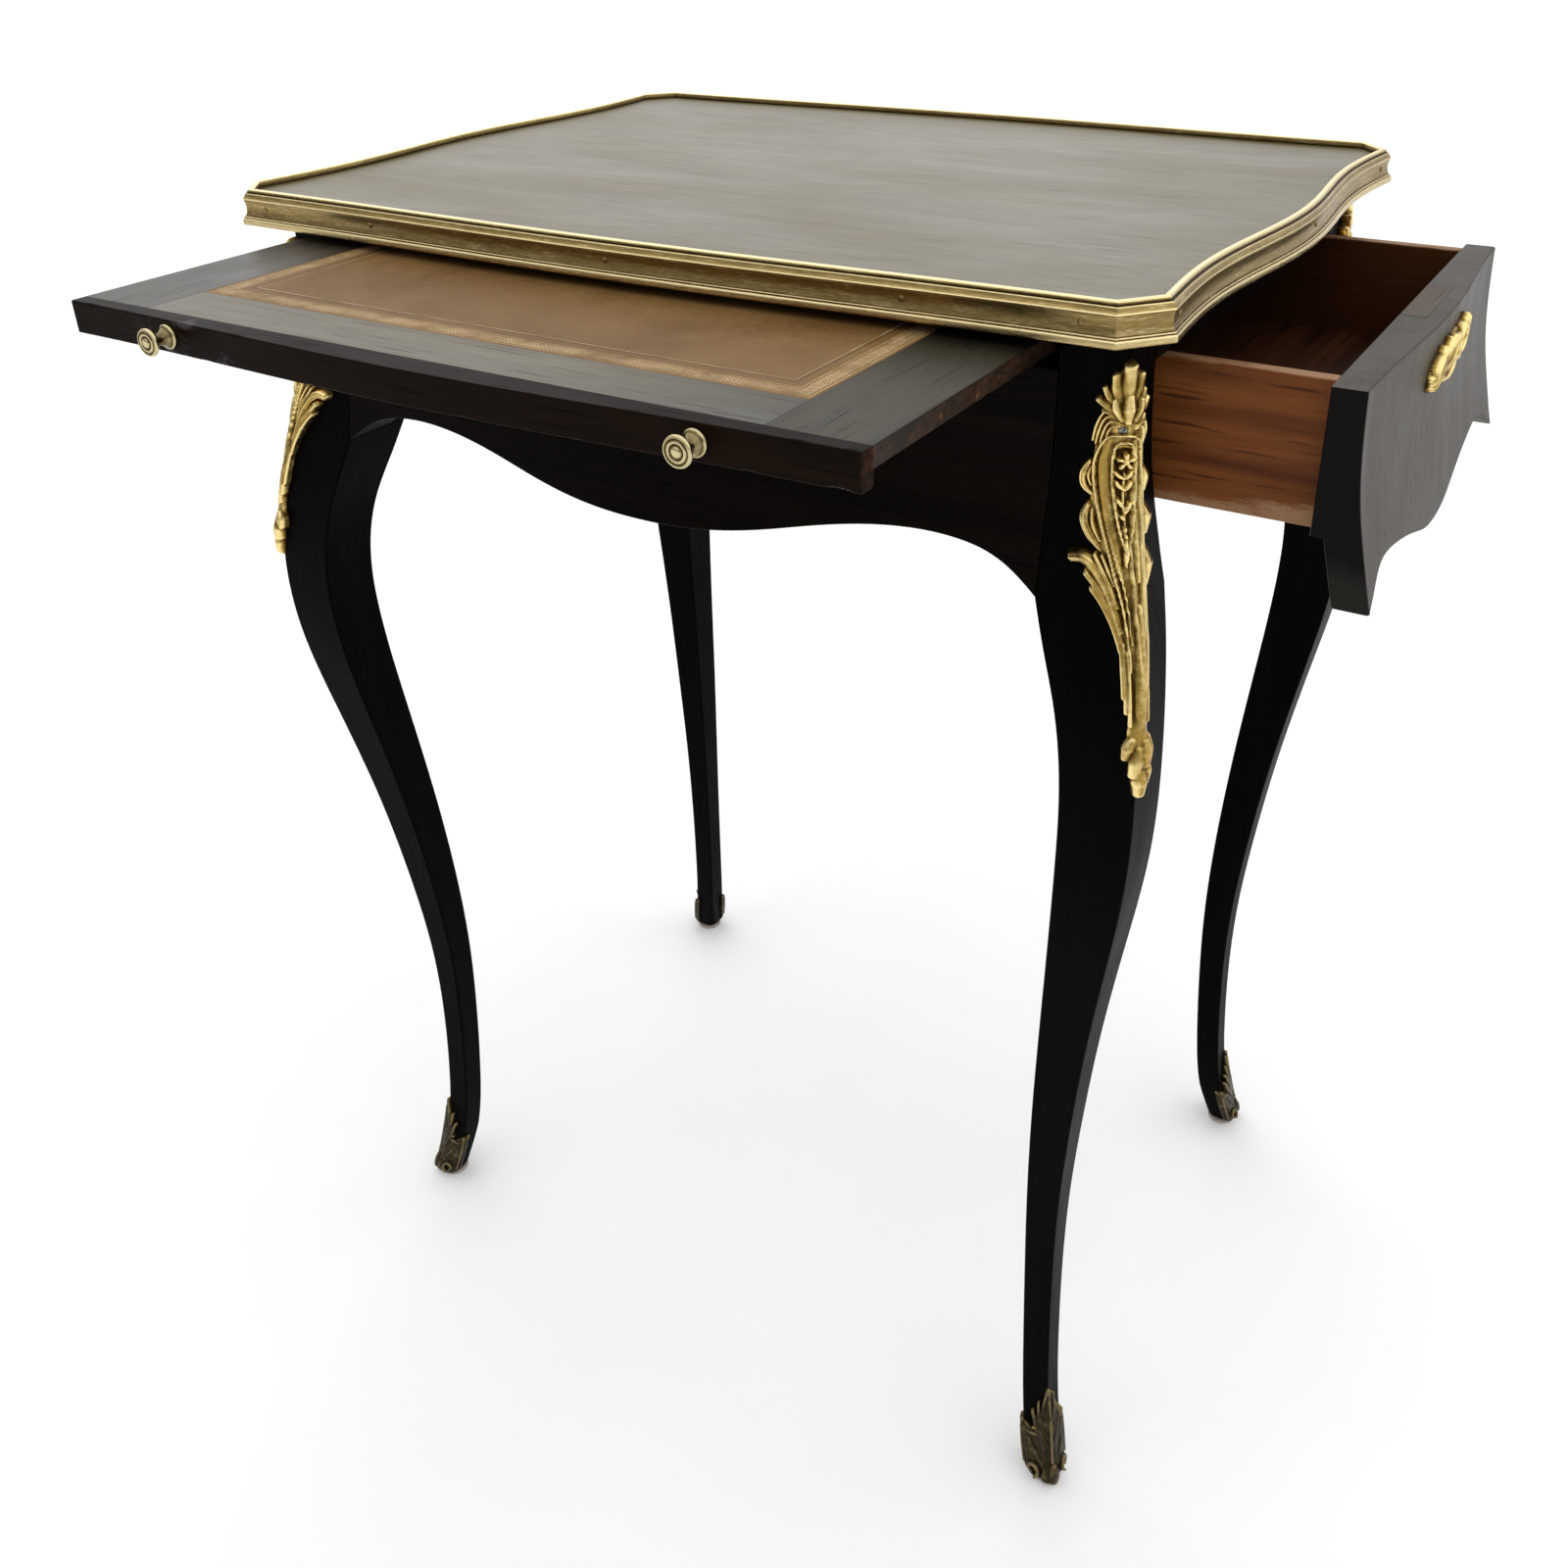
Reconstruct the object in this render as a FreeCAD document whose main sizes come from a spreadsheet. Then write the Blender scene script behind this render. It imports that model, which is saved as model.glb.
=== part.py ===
import FreeCAD, Part
import Sketcher
import os
from math import cos, pi, radians, sqrt
from types import SimpleNamespace

V = FreeCAD.Vector
os.makedirs("parts", exist_ok=True)
doc = FreeCAD.newDocument("writing_table")

# Driving sizes in millimetres. X runs to the right, Y to the back, Z up from the floor.
SIZES = (
    ("table_width", 536, "over the gallery, left to right"),
    ("table_depth", 402, "over the gallery, front to back"),
    ("table_height", 748, "floor to gallery top"),
    ("cant_width", 18, "canted corner, along X"),
    ("cant_depth", 21, "canted corner, along Y"),
    ("front_bow", 5, "swell of the top at front and back"),
    ("side_wave", 4, "serpentine of the top at the sides"),
    ("gallery_height", 18, "brass moulding round the top"),
    ("gallery_thickness", 8, "brass moulding, over its top band"),
    ("gallery_rebate", 2.5, "width of the band that laps the top"),
    ("top_drop", 3.5, "board surface below the gallery top"),
    ("pin_head", 3.2, "gallery pin head diameter"),
    ("pin_rise", 0.9, "gallery pin head height"),
    ("pin_shank", 1.6, "gallery pin diameter"),
    ("pin_length", 13, "gallery pin, under its head"),
    ("side_overhang", 21.7, "gallery edge to leg post, along X"),
    ("front_overhang", 29.5, "gallery edge to leg post, along Y"),
    ("post_side", 31.5, "leg post under the top"),
    ("post_drop", 122, "length of the post, from the top down to the knee"),
    ("knee_swell", 28.1, "knee beyond the post"),
    ("knee_side", 37, "square section of the leg at the knee"),
    ("leg_foot", 5, "end of the wood above the floor"),
    ("glide_diameter", 20, "pad under a foot"),
    ("glide_height", 3, "pad under a foot"),
    ("sabot_height", 67, "bronze shoe, over the pad"),
    ("sabot_wall", 1.5, "bronze round the ankle"),
    ("sabot_toe", 5, "leaf of the shoe beyond the ankle"),
    ("sabot_pin", 2, "pin that holds the shoe"),
    ("sabot_pin_head", 3, "pin that holds the shoe"),
    ("sabot_pin_height", 38, "pin above the floor"),
    ("mount_drop", 11, "corner mount below the top"),
    ("mount_length", 194, "corner mount, top to bottom"),
    ("mount_wrap", 17, "corner mount, widest wrap on a face"),
    ("mount_relief", 6.5, "corner mount, thickness"),
    ("screw_head", 4.4, "corner mount screw"),
    ("screw_shank", 2.2, "corner mount screw"),
    ("screw_length", 15, "corner mount screw"),
    ("apron_inner", 19.5, "apron thickness at its top"),
    ("apron_depth", 103, "top to the highest point of the apron's lower edge"),
    ("front_drop", 23, "middle lobe of the front apron"),
    ("side_drop", 19.5, "middle lobe of the side apron"),
    ("side_arch_drop", 2, "arches of the side apron below those of the front one"),
    ("rail_bow", 6, "swell of front apron and slide edge"),
    ("slide_drop", 4.6, "slide surface below the table top's underside"),
    ("slide_gap", 0.6, "running clearance under the slide's edging"),
    ("slide_side_gap", 0.7, "running clearance beside the slide"),
    ("slide_post_gap", 2.3, "between the slide and the leg posts"),
    ("slide_rear_gap", 23.5, "behind the closed slide"),
    ("slide_thickness", 8.6, "writing slide board"),
    ("slide_left", 45.6, "travel left beyond the rest pose, before the stop"),
    ("lip_height", 15.4, "front edging of the slide"),
    ("lip_thickness", 8, "front edging of the slide at its ends"),
    ("front_rail_width", 31.5, "slide frame, front"),
    ("rear_rail_width", 44, "slide frame, back"),
    ("stile_width", 44.5, "slide frame, sides"),
    ("leather_thickness", 0.8, "writing leather"),
    ("knob_diameter", 12.7, "knob disc"),
    ("knob_flange", 11.4, "knob back flange"),
    ("knob_waist", 5.6, "knob waist"),
    ("knob_length", 12.6, "knob, off the edging"),
    ("knob_shank", 3, "knob screw"),
    ("knob_shank_length", 15, "knob screw in the wood"),
    ("knob_inset", 68.5, "knob from the slide's end"),
    ("stop_pin", 6, "slide stop pin diameter"),
    ("stop_pin_inset", 62.5, "stop pin from the slide's side"),
    ("stop_pin_back", 32.9, "stop pin from the slide's back edge"),
    ("stop_bite", 2, "stop pin below the top of the strip it meets"),
    ("bearer_width", 23, "board under each slide edge"),
    ("bearer_gap", 0.4, "running clearance under the slide"),
    ("guide_height", 17, "batten beside the slide"),
    ("top_screw", 4, "screw through a batten"),
    ("top_screw_head", 7.5, "screw through a batten"),
    ("top_screw_length", 26, "screw through a batten"),
    ("drawer_out", 89.2, "drawer drawn out in the rest pose"),
    ("drawer_drop", 21.5, "table top's underside to the drawer's top edge"),
    ("drawer_height", 66.3, "drawer side"),
    ("drawer_guide", 9.6, "guide beside the drawer"),
    ("drawer_rear_gap", 78.3, "behind the closed drawer"),
    ("drawer_wall", 8, "drawer side and back"),
    ("drawer_floor", 6, "drawer bottom"),
    ("floor_rise", 9.4, "drawer bottom above the lower edge"),
    ("floor_groove", 4, "depth of the bottom's groove"),
    ("front_thickness", 14.8, "drawer front at its upper corners"),
    ("front_skirt", 16.5, "drawer front below the drawer's sides"),
    ("front_corner_rise", 3, "drawer front corners above the post foot"),
    ("drawer_bow", 7, "swell of the drawer front, at the table top's underside"),
    ("bow_fade", 1.28, "share of that swell lost at the post foot; over 1 turns it hollow"),
    ("drawer_kick", 2.4, "drawer front beyond the leg's line, at the post foot"),
    ("drawer_gap", 0.6, "running clearance round the drawer"),
    ("patch_length", 60, "lock patch in the top edge"),
    ("patch_width", 12.4, "lock patch"),
    ("patch_depth", 11, "lock patch"),
    ("patch_place", 12, "lock patch from the middle"),
    ("pull_length", 100, "gilt mount on the drawer"),
    ("pull_height", 26, "gilt mount on the drawer"),
    ("pull_relief", 6, "gilt mount on the drawer"),
    ("pull_place", 3, "gilt mount from the middle"),
    ("pull_drop", 42, "gilt mount below the top"),
    ("runner_width", 28, "drawer runner"),
    ("runner_height", 10, "drawer runner"),
    ("runner_guide", 36, "drawer runner over its guide"),
    ("kicker_width", 23, "strip over the drawer side"),
    ("kicker_height", 3.2, "strip over the drawer side"),
    ("blade_width", 22, "rail under the drawer"),
    ("blade_height", 16, "rail under the drawer"),
    ("block_height", 56, "glue block"),
    ("block_drop", 34, "glue block below the top"),
    ("overrun", 10, "how far a cutting tool runs past its cut"),
)
sheet = doc.addObject("Spreadsheet::Sheet", "Sizes")
for row, (alias, number, note) in enumerate(SIZES, 1):
    sheet.set(f"A{row}", alias)
    sheet.set(f"B{row}", str(number))
    sheet.setAlias(f"B{row}", alias)
    sheet.set(f"C{row}", note)

# Places that follow from the driving sizes, as formulas of the first sheet.
PLACES = (
    ("underside", "Sizes.table_height - Sizes.gallery_height"),
    ("board_top", "Sizes.table_height - Sizes.top_drop"),
    ("post_foot", "Sizes.table_height - Sizes.gallery_height - Sizes.post_drop"),
    ("mount_top", "Sizes.table_height - Sizes.gallery_height - Sizes.mount_drop"),
    ("apron_arch", "Sizes.table_height - Sizes.gallery_height - Sizes.apron_depth"),
    ("side_arch", "Sizes.table_height - Sizes.gallery_height - Sizes.apron_depth"
                  " - Sizes.side_arch_drop"),
    ("pull_level", "Sizes.table_height - Sizes.gallery_height - Sizes.pull_drop"),
    ("block_top", "Sizes.table_height - Sizes.gallery_height - Sizes.block_drop"),
    ("post_x", "Sizes.table_width / 2 - Sizes.side_overhang"),
    ("post_y", "Sizes.table_depth / 2 - Sizes.front_overhang"),
    ("inner_x", "Sizes.table_width / 2 - Sizes.side_overhang - Sizes.post_side"),
    ("inner_y", "Sizes.table_depth / 2 - Sizes.front_overhang - Sizes.post_side"),
    ("bay_x", "Sizes.table_width / 2 - Sizes.side_overhang - Sizes.apron_inner"),
    ("bay_y", "Sizes.table_depth / 2 - Sizes.front_overhang - Sizes.apron_inner"),
    ("slide_top", "Sizes.table_height - Sizes.gallery_height - Sizes.slide_drop"),
    ("slide_bottom", "Sizes.table_height - Sizes.gallery_height - Sizes.slide_drop"
                     " - Sizes.slide_thickness"),
    ("lip_bottom", "Sizes.table_height - Sizes.gallery_height - Sizes.slide_drop"
                   " - Sizes.lip_height"),
    ("slide_out", "Sizes.table_depth - 2 * Sizes.front_overhang - Sizes.apron_inner"
                  " - Sizes.post_side - Sizes.kicker_width - Sizes.slide_rear_gap"
                  " - Sizes.slide_left - Sizes.stop_pin / 2 - Sizes.stop_pin_back"),
    ("lip_back", "Sizes.front_overhang + Sizes.lip_thickness - Sizes.table_depth / 2"
                 " - slide_out"),
    ("slide_width", "Sizes.table_width - 2 * Sizes.side_overhang - 2 * Sizes.post_side"
                    " - 2 * Sizes.slide_post_gap"),
    ("knob_place", "Sizes.table_width / 2 - Sizes.side_overhang - Sizes.post_side"
                   " - Sizes.slide_post_gap - Sizes.knob_inset"),
    ("stop_pin_place", "Sizes.table_width / 2 - Sizes.side_overhang - Sizes.post_side"
                       " - Sizes.slide_post_gap - Sizes.stop_pin_inset"),
    ("slide_back", "Sizes.table_depth / 2 - Sizes.front_overhang - Sizes.apron_inner"
                   " - Sizes.slide_rear_gap - slide_out"),
    ("drawer_top", "Sizes.table_height - Sizes.gallery_height - Sizes.drawer_drop"),
    ("drawer_foot", "Sizes.table_height - Sizes.gallery_height - Sizes.drawer_drop"
                    " - Sizes.drawer_height"),
    ("drawer_box_width", "Sizes.table_depth - 2 * Sizes.front_overhang - 2 * Sizes.post_side"
                         " - 2 * Sizes.drawer_guide - 2 * Sizes.drawer_gap"),
    ("drawer_box_length", "Sizes.table_width - 2 * Sizes.side_overhang - Sizes.apron_inner"
                          " - Sizes.front_thickness - Sizes.drawer_rear_gap"),
    ("front_back", "Sizes.table_width / 2 - Sizes.side_overhang"
                   " + Sizes.drawer_out - Sizes.front_thickness"),
    ("box_back", "Sizes.side_overhang + Sizes.apron_inner + Sizes.drawer_rear_gap"
                 " + Sizes.drawer_out - Sizes.table_width / 2"),
    ("kicker_foot", "Sizes.table_height - Sizes.gallery_height - Sizes.drawer_drop"
                    " + Sizes.drawer_gap"),
    ("bearer_foot", "Sizes.table_height - Sizes.gallery_height - Sizes.drawer_drop"
                    " + Sizes.drawer_gap + Sizes.kicker_height"),
    ("bearer_height", "Sizes.drawer_drop - Sizes.slide_drop - Sizes.slide_thickness"
                      " - Sizes.bearer_gap - Sizes.drawer_gap - Sizes.kicker_height"),
)
places = doc.addObject("Spreadsheet::Sheet", "Places")
for row, (alias, formula) in enumerate(PLACES, 1):
    places.set(f"A{row}", alias)
    places.set(f"B{row}", "=" + formula)
    places.setAlias(f"B{row}", alias)
doc.recompute()

d = SimpleNamespace(**{alias: float(sheet.get(alias)) for alias, _, _ in SIZES})
p = SimpleNamespace(**{alias: float(places.get(alias)) for alias, _ in PLACES})
nodes = []
LEFT, RIGHT, FRONT, REAR = -1, 1, -1, 1
SIDES = {"left": LEFT, "right": RIGHT}
ENDS = {"front": FRONT, "rear": REAR}
X_AXIS = V(1, 0, 0)
Y_AXIS = V(0, 1, 0)
Z_AXIS = V(0, 0, 1)
ORIGIN = V(0, 0, 0)


# Small helpers
def scripted(label, shape):
    """A node whose shape is worked out here from the sheets."""
    piece = doc.addObject("Part::Feature", label)
    piece.Shape = shape
    piece.Placement = FreeCAD.Placement()
    nodes.append(piece)
    return piece


def bind(piece, **formulas):
    """Ties properties of a piece to the sheets; an underscore stands for a dot."""
    for name, formula in formulas.items():
        piece.setExpression(name.replace("_", "."), formula)


def board(label, length, width, height, x, y, z, keep=True):
    """A plain board: three sizes and the place of its lowest corner, all formulas."""
    piece = doc.addObject("Part::Box", label)
    bind(piece, Length=length, Width=width, Height=height)
    bind(piece, Placement_Base_x=x, Placement_Base_y=y, Placement_Base_z=z)
    if keep:
        nodes.append(piece)
    return piece


def spline(points):
    """A smooth edge through the given points."""
    curve = Part.BSplineCurve()
    curve.interpolate([V(*point) for point in points])
    return curve.toShape()


def chain(*runs):
    """A closed wire of runs of points; a run of two is a line, a longer one a spline."""
    edges = []
    for run in runs:
        if len(run) == 2:
            edges.append(Part.makeLine(V(*run[0]), V(*run[1])))
        else:
            edges.append(spline(run))
    return Part.Wire(edges)


def polygon(points):
    corners = [V(*point) for point in points]
    return Part.makePolygon(corners + corners[:1])


def span(start, end, steps):
    return [start + (end - start) * step / steps for step in range(steps + 1)]


def mirrored(shape, axis):
    return shape.mirror(ORIGIN, axis)


def placed(shape, sx, sy):
    """A shape made for the right front corner, moved to the corner with these signs."""
    if sx < 0:
        shape = mirrored(shape, X_AXIS)
    if sy > 0:
        shape = mirrored(shape, Y_AXIS)
    return shape


def group(shapes):
    return Part.makeCompound(list(shapes))


def turned(profile, start, direction):
    """A solid of revolution whose profile is (distance along, radius) pairs."""
    outline = polygon([(radius, 0, along) for along, radius in profile])
    solid = Part.Face(outline).revolve(ORIGIN, Z_AXIS, 360)
    turn = FreeCAD.Rotation(Z_AXIS, V(*direction))
    solid.Placement = FreeCAD.Placement(V(*start), turn)
    return solid


def headed(start, direction, head, rise, shank, length):
    """A pin or screw: its head stands on start and its shank runs against direction."""
    profile = ((-length, 0), (-length, shank / 2), (0, shank / 2), (0, head / 2),
               (rise / 2, head / 2), (rise, head / 4), (rise, 0))
    return turned(profile, start, direction)


# The plan of the top: four waved sides and four cants
def swell(share):
    """Front and back: flat at the corners, full in the middle."""
    return (1 - cos(2 * pi * share)) / 2


def wave(share):
    """Sides: in near the corners, out in the middle."""
    return cos(3 * pi * (share - 0.5))


half_w = d.table_width / 2
half_d = d.table_depth / 2
CORNERS = (
    (-half_w + d.cant_width, -half_d), (half_w - d.cant_width, -half_d),
    (half_w, -half_d + d.cant_depth), (half_w, half_d - d.cant_depth),
    (half_w - d.cant_width, half_d), (-half_w + d.cant_width, half_d),
    (-half_w, half_d - d.cant_depth), (-half_w, -half_d + d.cant_depth),
)
EDGE_NAMES = ("front", "corner_front_right", "right", "corner_rear_right",
              "rear", "corner_rear_left", "left", "corner_front_left")
EDGE_SWELLS = ((swell, d.front_bow), None, (wave, d.side_wave), None,
               (swell, d.front_bow), None, (wave, d.side_wave), None)
WAVE_STEPS = 12


def unit(a, b):
    length = sqrt((b[0] - a[0]) ** 2 + (b[1] - a[1]) ** 2)
    return ((b[0] - a[0]) / length, (b[1] - a[1]) / length)


def outward(edge):
    along = unit(CORNERS[edge], CORNERS[(edge + 1) % 8])
    return (along[1], -along[0])


def mitre(corner):
    """The direction in which a corner moves out when both its edges move out by one."""
    before = outward((corner - 1) % 8)
    after = outward(corner % 8)
    even = 1 + before[0] * after[0] + before[1] * after[1]
    return ((before[0] + after[0]) / even, (before[1] + after[1]) / even)


def edge_point(edge, share, out):
    """A point of the plan outline moved outwards by out."""
    start = CORNERS[edge]
    end = CORNERS[(edge + 1) % 8]
    from_mitre = mitre(edge)
    to_mitre = mitre(edge + 1)
    ax = start[0] + out * from_mitre[0]
    ay = start[1] + out * from_mitre[1]
    bx = end[0] + out * to_mitre[0]
    by = end[1] + out * to_mitre[1]
    x = ax + (bx - ax) * share
    y = ay + (by - ay) * share
    if EDGE_SWELLS[edge]:
        shape, amount = EDGE_SWELLS[edge]
        normal = outward(edge)
        x += normal[0] * shape(share) * amount
        y += normal[1] * shape(share) * amount
    return (x, y)


def plan_face(out, z):
    edges = []
    for edge in range(8):
        steps = WAVE_STEPS if EDGE_SWELLS[edge] else 1
        points = [edge_point(edge, share, out) + (z,) for share in span(0, 1, steps)]
        if steps == 1:
            edges.append(Part.makeLine(V(*points[0]), V(*points[1])))
        else:
            edges.append(spline(points))
    return Part.Face(Part.Wire(edges))


# Brass moulding: (share of thickness inwards, share of height upwards)
GALLERY_PROFILE_SHARES = (
    (0.0, 0.0), (0.0, 0.17), (0.12, 0.21), (0.12, 0.25), (0.27, 0.26), (0.34, 0.48),
    (0.27, 0.70), (0.24, 0.73), (0.40, 0.89), (0.40, 0.93), (0.56, 0.93), (0.62, 1.0),
    (1.0, 1.0),
)


def gallery_section(edge, share):
    seat = (d.gallery_thickness - d.gallery_rebate) / d.gallery_thickness
    lap = 1 - d.top_drop / d.gallery_height
    outline = GALLERY_PROFILE_SHARES + ((1.0, lap), (seat, lap), (seat, 0.0))
    points = []
    for inward, up in outline:
        x, y = edge_point(edge, share, -inward * d.gallery_thickness)
        points.append((x, y, p.underside + up * d.gallery_height))
    return polygon(points)


def gallery_length(edge, start=0.0, end=1.0):
    steps = WAVE_STEPS if EDGE_SWELLS[edge] else 1
    sections = [gallery_section(edge, share) for share in span(start, end, steps)]
    return Part.makeLoft(sections, True, steps == 1)


PIN_SHARES = {"front": (0.03, 0.19, 0.5, 0.81, 0.97), "rear": (0.03, 0.19, 0.5, 0.81, 0.97),
              "right": (0.03, 0.54, 0.97), "left": (0.03, 0.46, 0.54, 0.97)}
PIN_LEVEL_SHARE = 0.48
PIN_SEAT_SHARE = 0.34


def gallery_pin(edge, share):
    x, y = edge_point(edge, share, -PIN_SEAT_SHARE * d.gallery_thickness)
    z = p.underside + PIN_LEVEL_SHARE * d.gallery_height
    normal = outward(edge)
    return headed((x, y, z), (normal[0], normal[1], 0),
                  d.pin_head, d.pin_rise, d.pin_shank, d.pin_length)


gallery_pins = group(gallery_pin(EDGE_NAMES.index(name), share)
                     for name, shares in PIN_SHARES.items() for share in shares)

# Screws that hold the top: through the side battens, up into the board
SCREW_SHARES = (-0.7, 0.0, 0.7)
batten_middle = (p.bay_x + p.slide_width / 2 + d.slide_side_gap) / 2
batten_foot = p.underside - d.guide_height
screw_profile = ((0, 0), (0, d.top_screw_head / 2), (d.top_screw_head / 2, d.top_screw / 2),
                 (d.top_screw_length, d.top_screw / 2), (d.top_screw_length, 0))
top_screws = group(turned(screw_profile, (sx * batten_middle, share * p.inner_y, batten_foot),
                          (0, 0, 1))
                   for sx in (LEFT, RIGHT) for share in SCREW_SHARES)

board_out = d.gallery_rebate - d.gallery_thickness
top_board = plan_face(board_out, p.underside).extrude(V(0, 0, p.board_top - p.underside))
top_board = top_board.cut(gallery_pins).cut(top_screws)
scripted("top_panel", top_board)
for edge, name in enumerate(EDGE_NAMES):
    if name == "left":
        scripted("gallery_left_rear", gallery_length(edge, 0.0, 0.5).cut(gallery_pins))
        scripted("gallery_left_front", gallery_length(edge, 0.5, 1.0).cut(gallery_pins))
    else:
        scripted("gallery_" + name, gallery_length(edge).cut(gallery_pins))
scripted("gallery_pins", gallery_pins)
scripted("top_screws", top_screws)

# The leg as it is sawn. Heights are shares: 0 to 1 below the post, 1 to 2 along it.
# Outer line: (height, share of knee swell)
OUTER_SHARES = ((2.0, 0.0), (1.6286, 0.036), (1.4001, 0.13), (1.2116, 0.285), (1.0059, 0.48),
                (0.9688, 0.66), (0.9272, 0.855), (0.8695, 1.0), (0.7873, 0.98), (0.6891, 0.69),
                (0.5736, 0.306), (0.4579, 0.03), (0.3423, -0.14), (0.2441, -0.146),
                (0.1447, -0.05), (0.0464, 0.205), (0.0, 0.458))
# Square section of the leg below its post: (height, share of knee side)
SECTION_SHARES = ((0.9688, 1.176), (0.9272, 1.08), (0.8695, 1.0), (0.7873, 0.962),
                  (0.6891, 0.854), (0.5736, 0.716), (0.4579, 0.616), (0.3423, 0.524),
                  (0.2441, 0.476), (0.1447, 0.459), (0.0464, 0.473), (0.0, 0.5))


def leg_level(share):
    """Height above the floor of a share along the leg."""
    if share > 1:
        return p.post_foot + (share - 1) * d.post_drop
    return d.leg_foot + share * (p.post_foot - d.leg_foot)


outer_points = [(d.knee_swell * out, 0, leg_level(up)) for up, out in OUTER_SHARES]
outer_curve = Part.BSplineCurve()
outer_curve.interpolate([V(*point) for point in outer_points])


def outer_curve_x(z):
    """How far the outer line stands beyond the post at a height."""
    cut = outer_curve.intersect(Part.Plane(V(0, 0, z), Z_AXIS))
    return cut[0][0].X if cut and cut[0] else 0.0


def leg_outline(reach):
    """Closed outline of the leg: reach turns (offset from the post, height) into a point."""
    outer = [reach(x, z) for x, _, z in outer_points]
    inner = [reach(-d.post_side, p.post_foot)]
    for up, side in SECTION_SHARES:
        z = leg_level(up)
        inner.append(reach(outer_curve_x(z) - d.knee_side * side, z))
    top_inner = reach(-d.post_side, p.underside)
    return chain(outer, [outer[-1], inner[-1]], inner[::-1], [inner[0], top_inner],
                 [top_inner, outer[0]])


seen_from_front = Part.Face(leg_outline(lambda out, z: (p.post_x + out, 0, z)))
seen_from_side = Part.Face(leg_outline(lambda out, z: (0, -p.post_y - out, z)))
leg_shape = seen_from_front.extrude(V(0, -half_d, 0)).common(
    seen_from_side.extrude(V(half_w + d.knee_swell, 0, 0)))

# Corner mount: (share of length from the top, wrap on the front face, wrap on the side face)
MOUNT_SHARES = ((0.0, 0.12, 0.12), (0.06, 0.38, 0.34), (0.11, 0.62, 0.50), (0.16, 0.50, 0.42),
                (0.24, 0.66, 0.54), (0.34, 0.80, 0.62), (0.44, 0.86, 0.66), (0.52, 0.80, 0.64),
                (0.58, 1.0, 0.56), (0.66, 0.66, 0.44), (0.76, 0.40, 0.32), (0.86, 0.28, 0.24),
                (0.93, 0.36, 0.32), (1.0, 0.10, 0.10))
MOUNT_RELIEF_SHARES = (0.5, 0.9, 1.0, 0.8, 0.9, 1.0, 1.0, 0.95, 0.9, 0.8, 0.7, 0.6, 0.7, 0.4)
MOUNT_SCREW_SHARES = (0.17, 0.82)
EDGE_SHARE = 0.45


def mount_section(level, front_wrap, side_wrap, relief):
    """A chevron that wraps the leg's outer arris at one height."""
    z = p.mount_top - level * d.mount_length
    out = outer_curve_x(z)
    x = p.post_x + out
    y = -p.post_y - out
    sunk = d.mount_relief * EDGE_SHARE
    front = sunk + front_wrap * d.mount_wrap
    side = sunk + side_wrap * d.mount_wrap
    rise = relief * d.mount_relief
    edge = rise * EDGE_SHARE
    return polygon(((x - front, y + sunk, z), (x - sunk, y + sunk, z), (x - sunk, y + side, z),
                    (x + edge, y + side, z), (x + rise, y - rise, z), (x - front, y - edge, z)))


mount_sections = [mount_section(*shares, relief)
                  for shares, relief in zip(MOUNT_SHARES, MOUNT_RELIEF_SHARES)]
mount_shape = Part.makeLoft(mount_sections, True, False).cut(leg_shape)


def mount_screw(share):
    z = p.mount_top - share * d.mount_length
    out = outer_curve_x(z)
    reach = out + d.mount_relief * EDGE_SHARE
    start = (p.post_x + reach, -p.post_y - reach, z)
    return headed(start, (1, -1, 0), d.screw_head, d.mount_relief / 2,
                  d.screw_shank, d.screw_length)


mount_screws = group(mount_screw(share) for share in MOUNT_SCREW_SHARES)

# Bronze shoe: (share of height, share of toe, share of wall, share of the leg's side that it
# covers from the outer arris) from its tip down
SABOT_SHARES = ((1.0, 0.1, 0.9, 0.14), (0.86, 0.1, 1.3, 0.34), (0.7, 0.1, 1.6, 0.5),
                (0.58, 0.12, 1.4, 0.78), (0.48, 0.2, 1.4, 1.0), (0.35, 0.35, 1.5, 1.0),
                (0.18, 0.75, 1.8, 1.0), (0.08, 1.0, 2.0, 1.0), (0.0, 0.8, 1.4, 1.0))
HEEL_SHARE = 0.25
RETURN_SHARE = 0.2


def section_share(z):
    """Share of the knee side at a height, in line between the table's rows."""
    up = (z - d.leg_foot) / (p.post_foot - d.leg_foot)
    for (high, wide), (low, narrow) in zip(SECTION_SHARES, SECTION_SHARES[1:]):
        if low <= up <= high:
            return narrow + (wide - narrow) * (up - low) / (high - low)
    return SECTION_SHARES[0][1]


def sabot_section(up, toe, wall, reach):
    """Plan of the shoe: two walls from the outer arris, turned a little round the side arrises."""
    z = d.glide_height + up * d.sabot_height
    level = max(z, d.leg_foot)
    out = outer_curve_x(level)
    side = d.knee_side * section_share(level)
    low = out - side * reach - (wall * d.sabot_wall if reach == 1 else 0)
    inner = out - side * min(RETURN_SHARE, reach / 2)
    high = out + wall * d.sabot_wall + toe * d.sabot_toe * HEEL_SHARE
    tip = out + wall * d.sabot_wall + toe * d.sabot_toe
    middle = (low + high) / 2
    outline = ((low, inner), (inner, inner), (inner, low), (high, low), (high, middle),
               (tip, tip), (middle, high), (low, high))
    return polygon([(p.post_x + a, -p.post_y - b, z) for a, b in outline])


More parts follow.
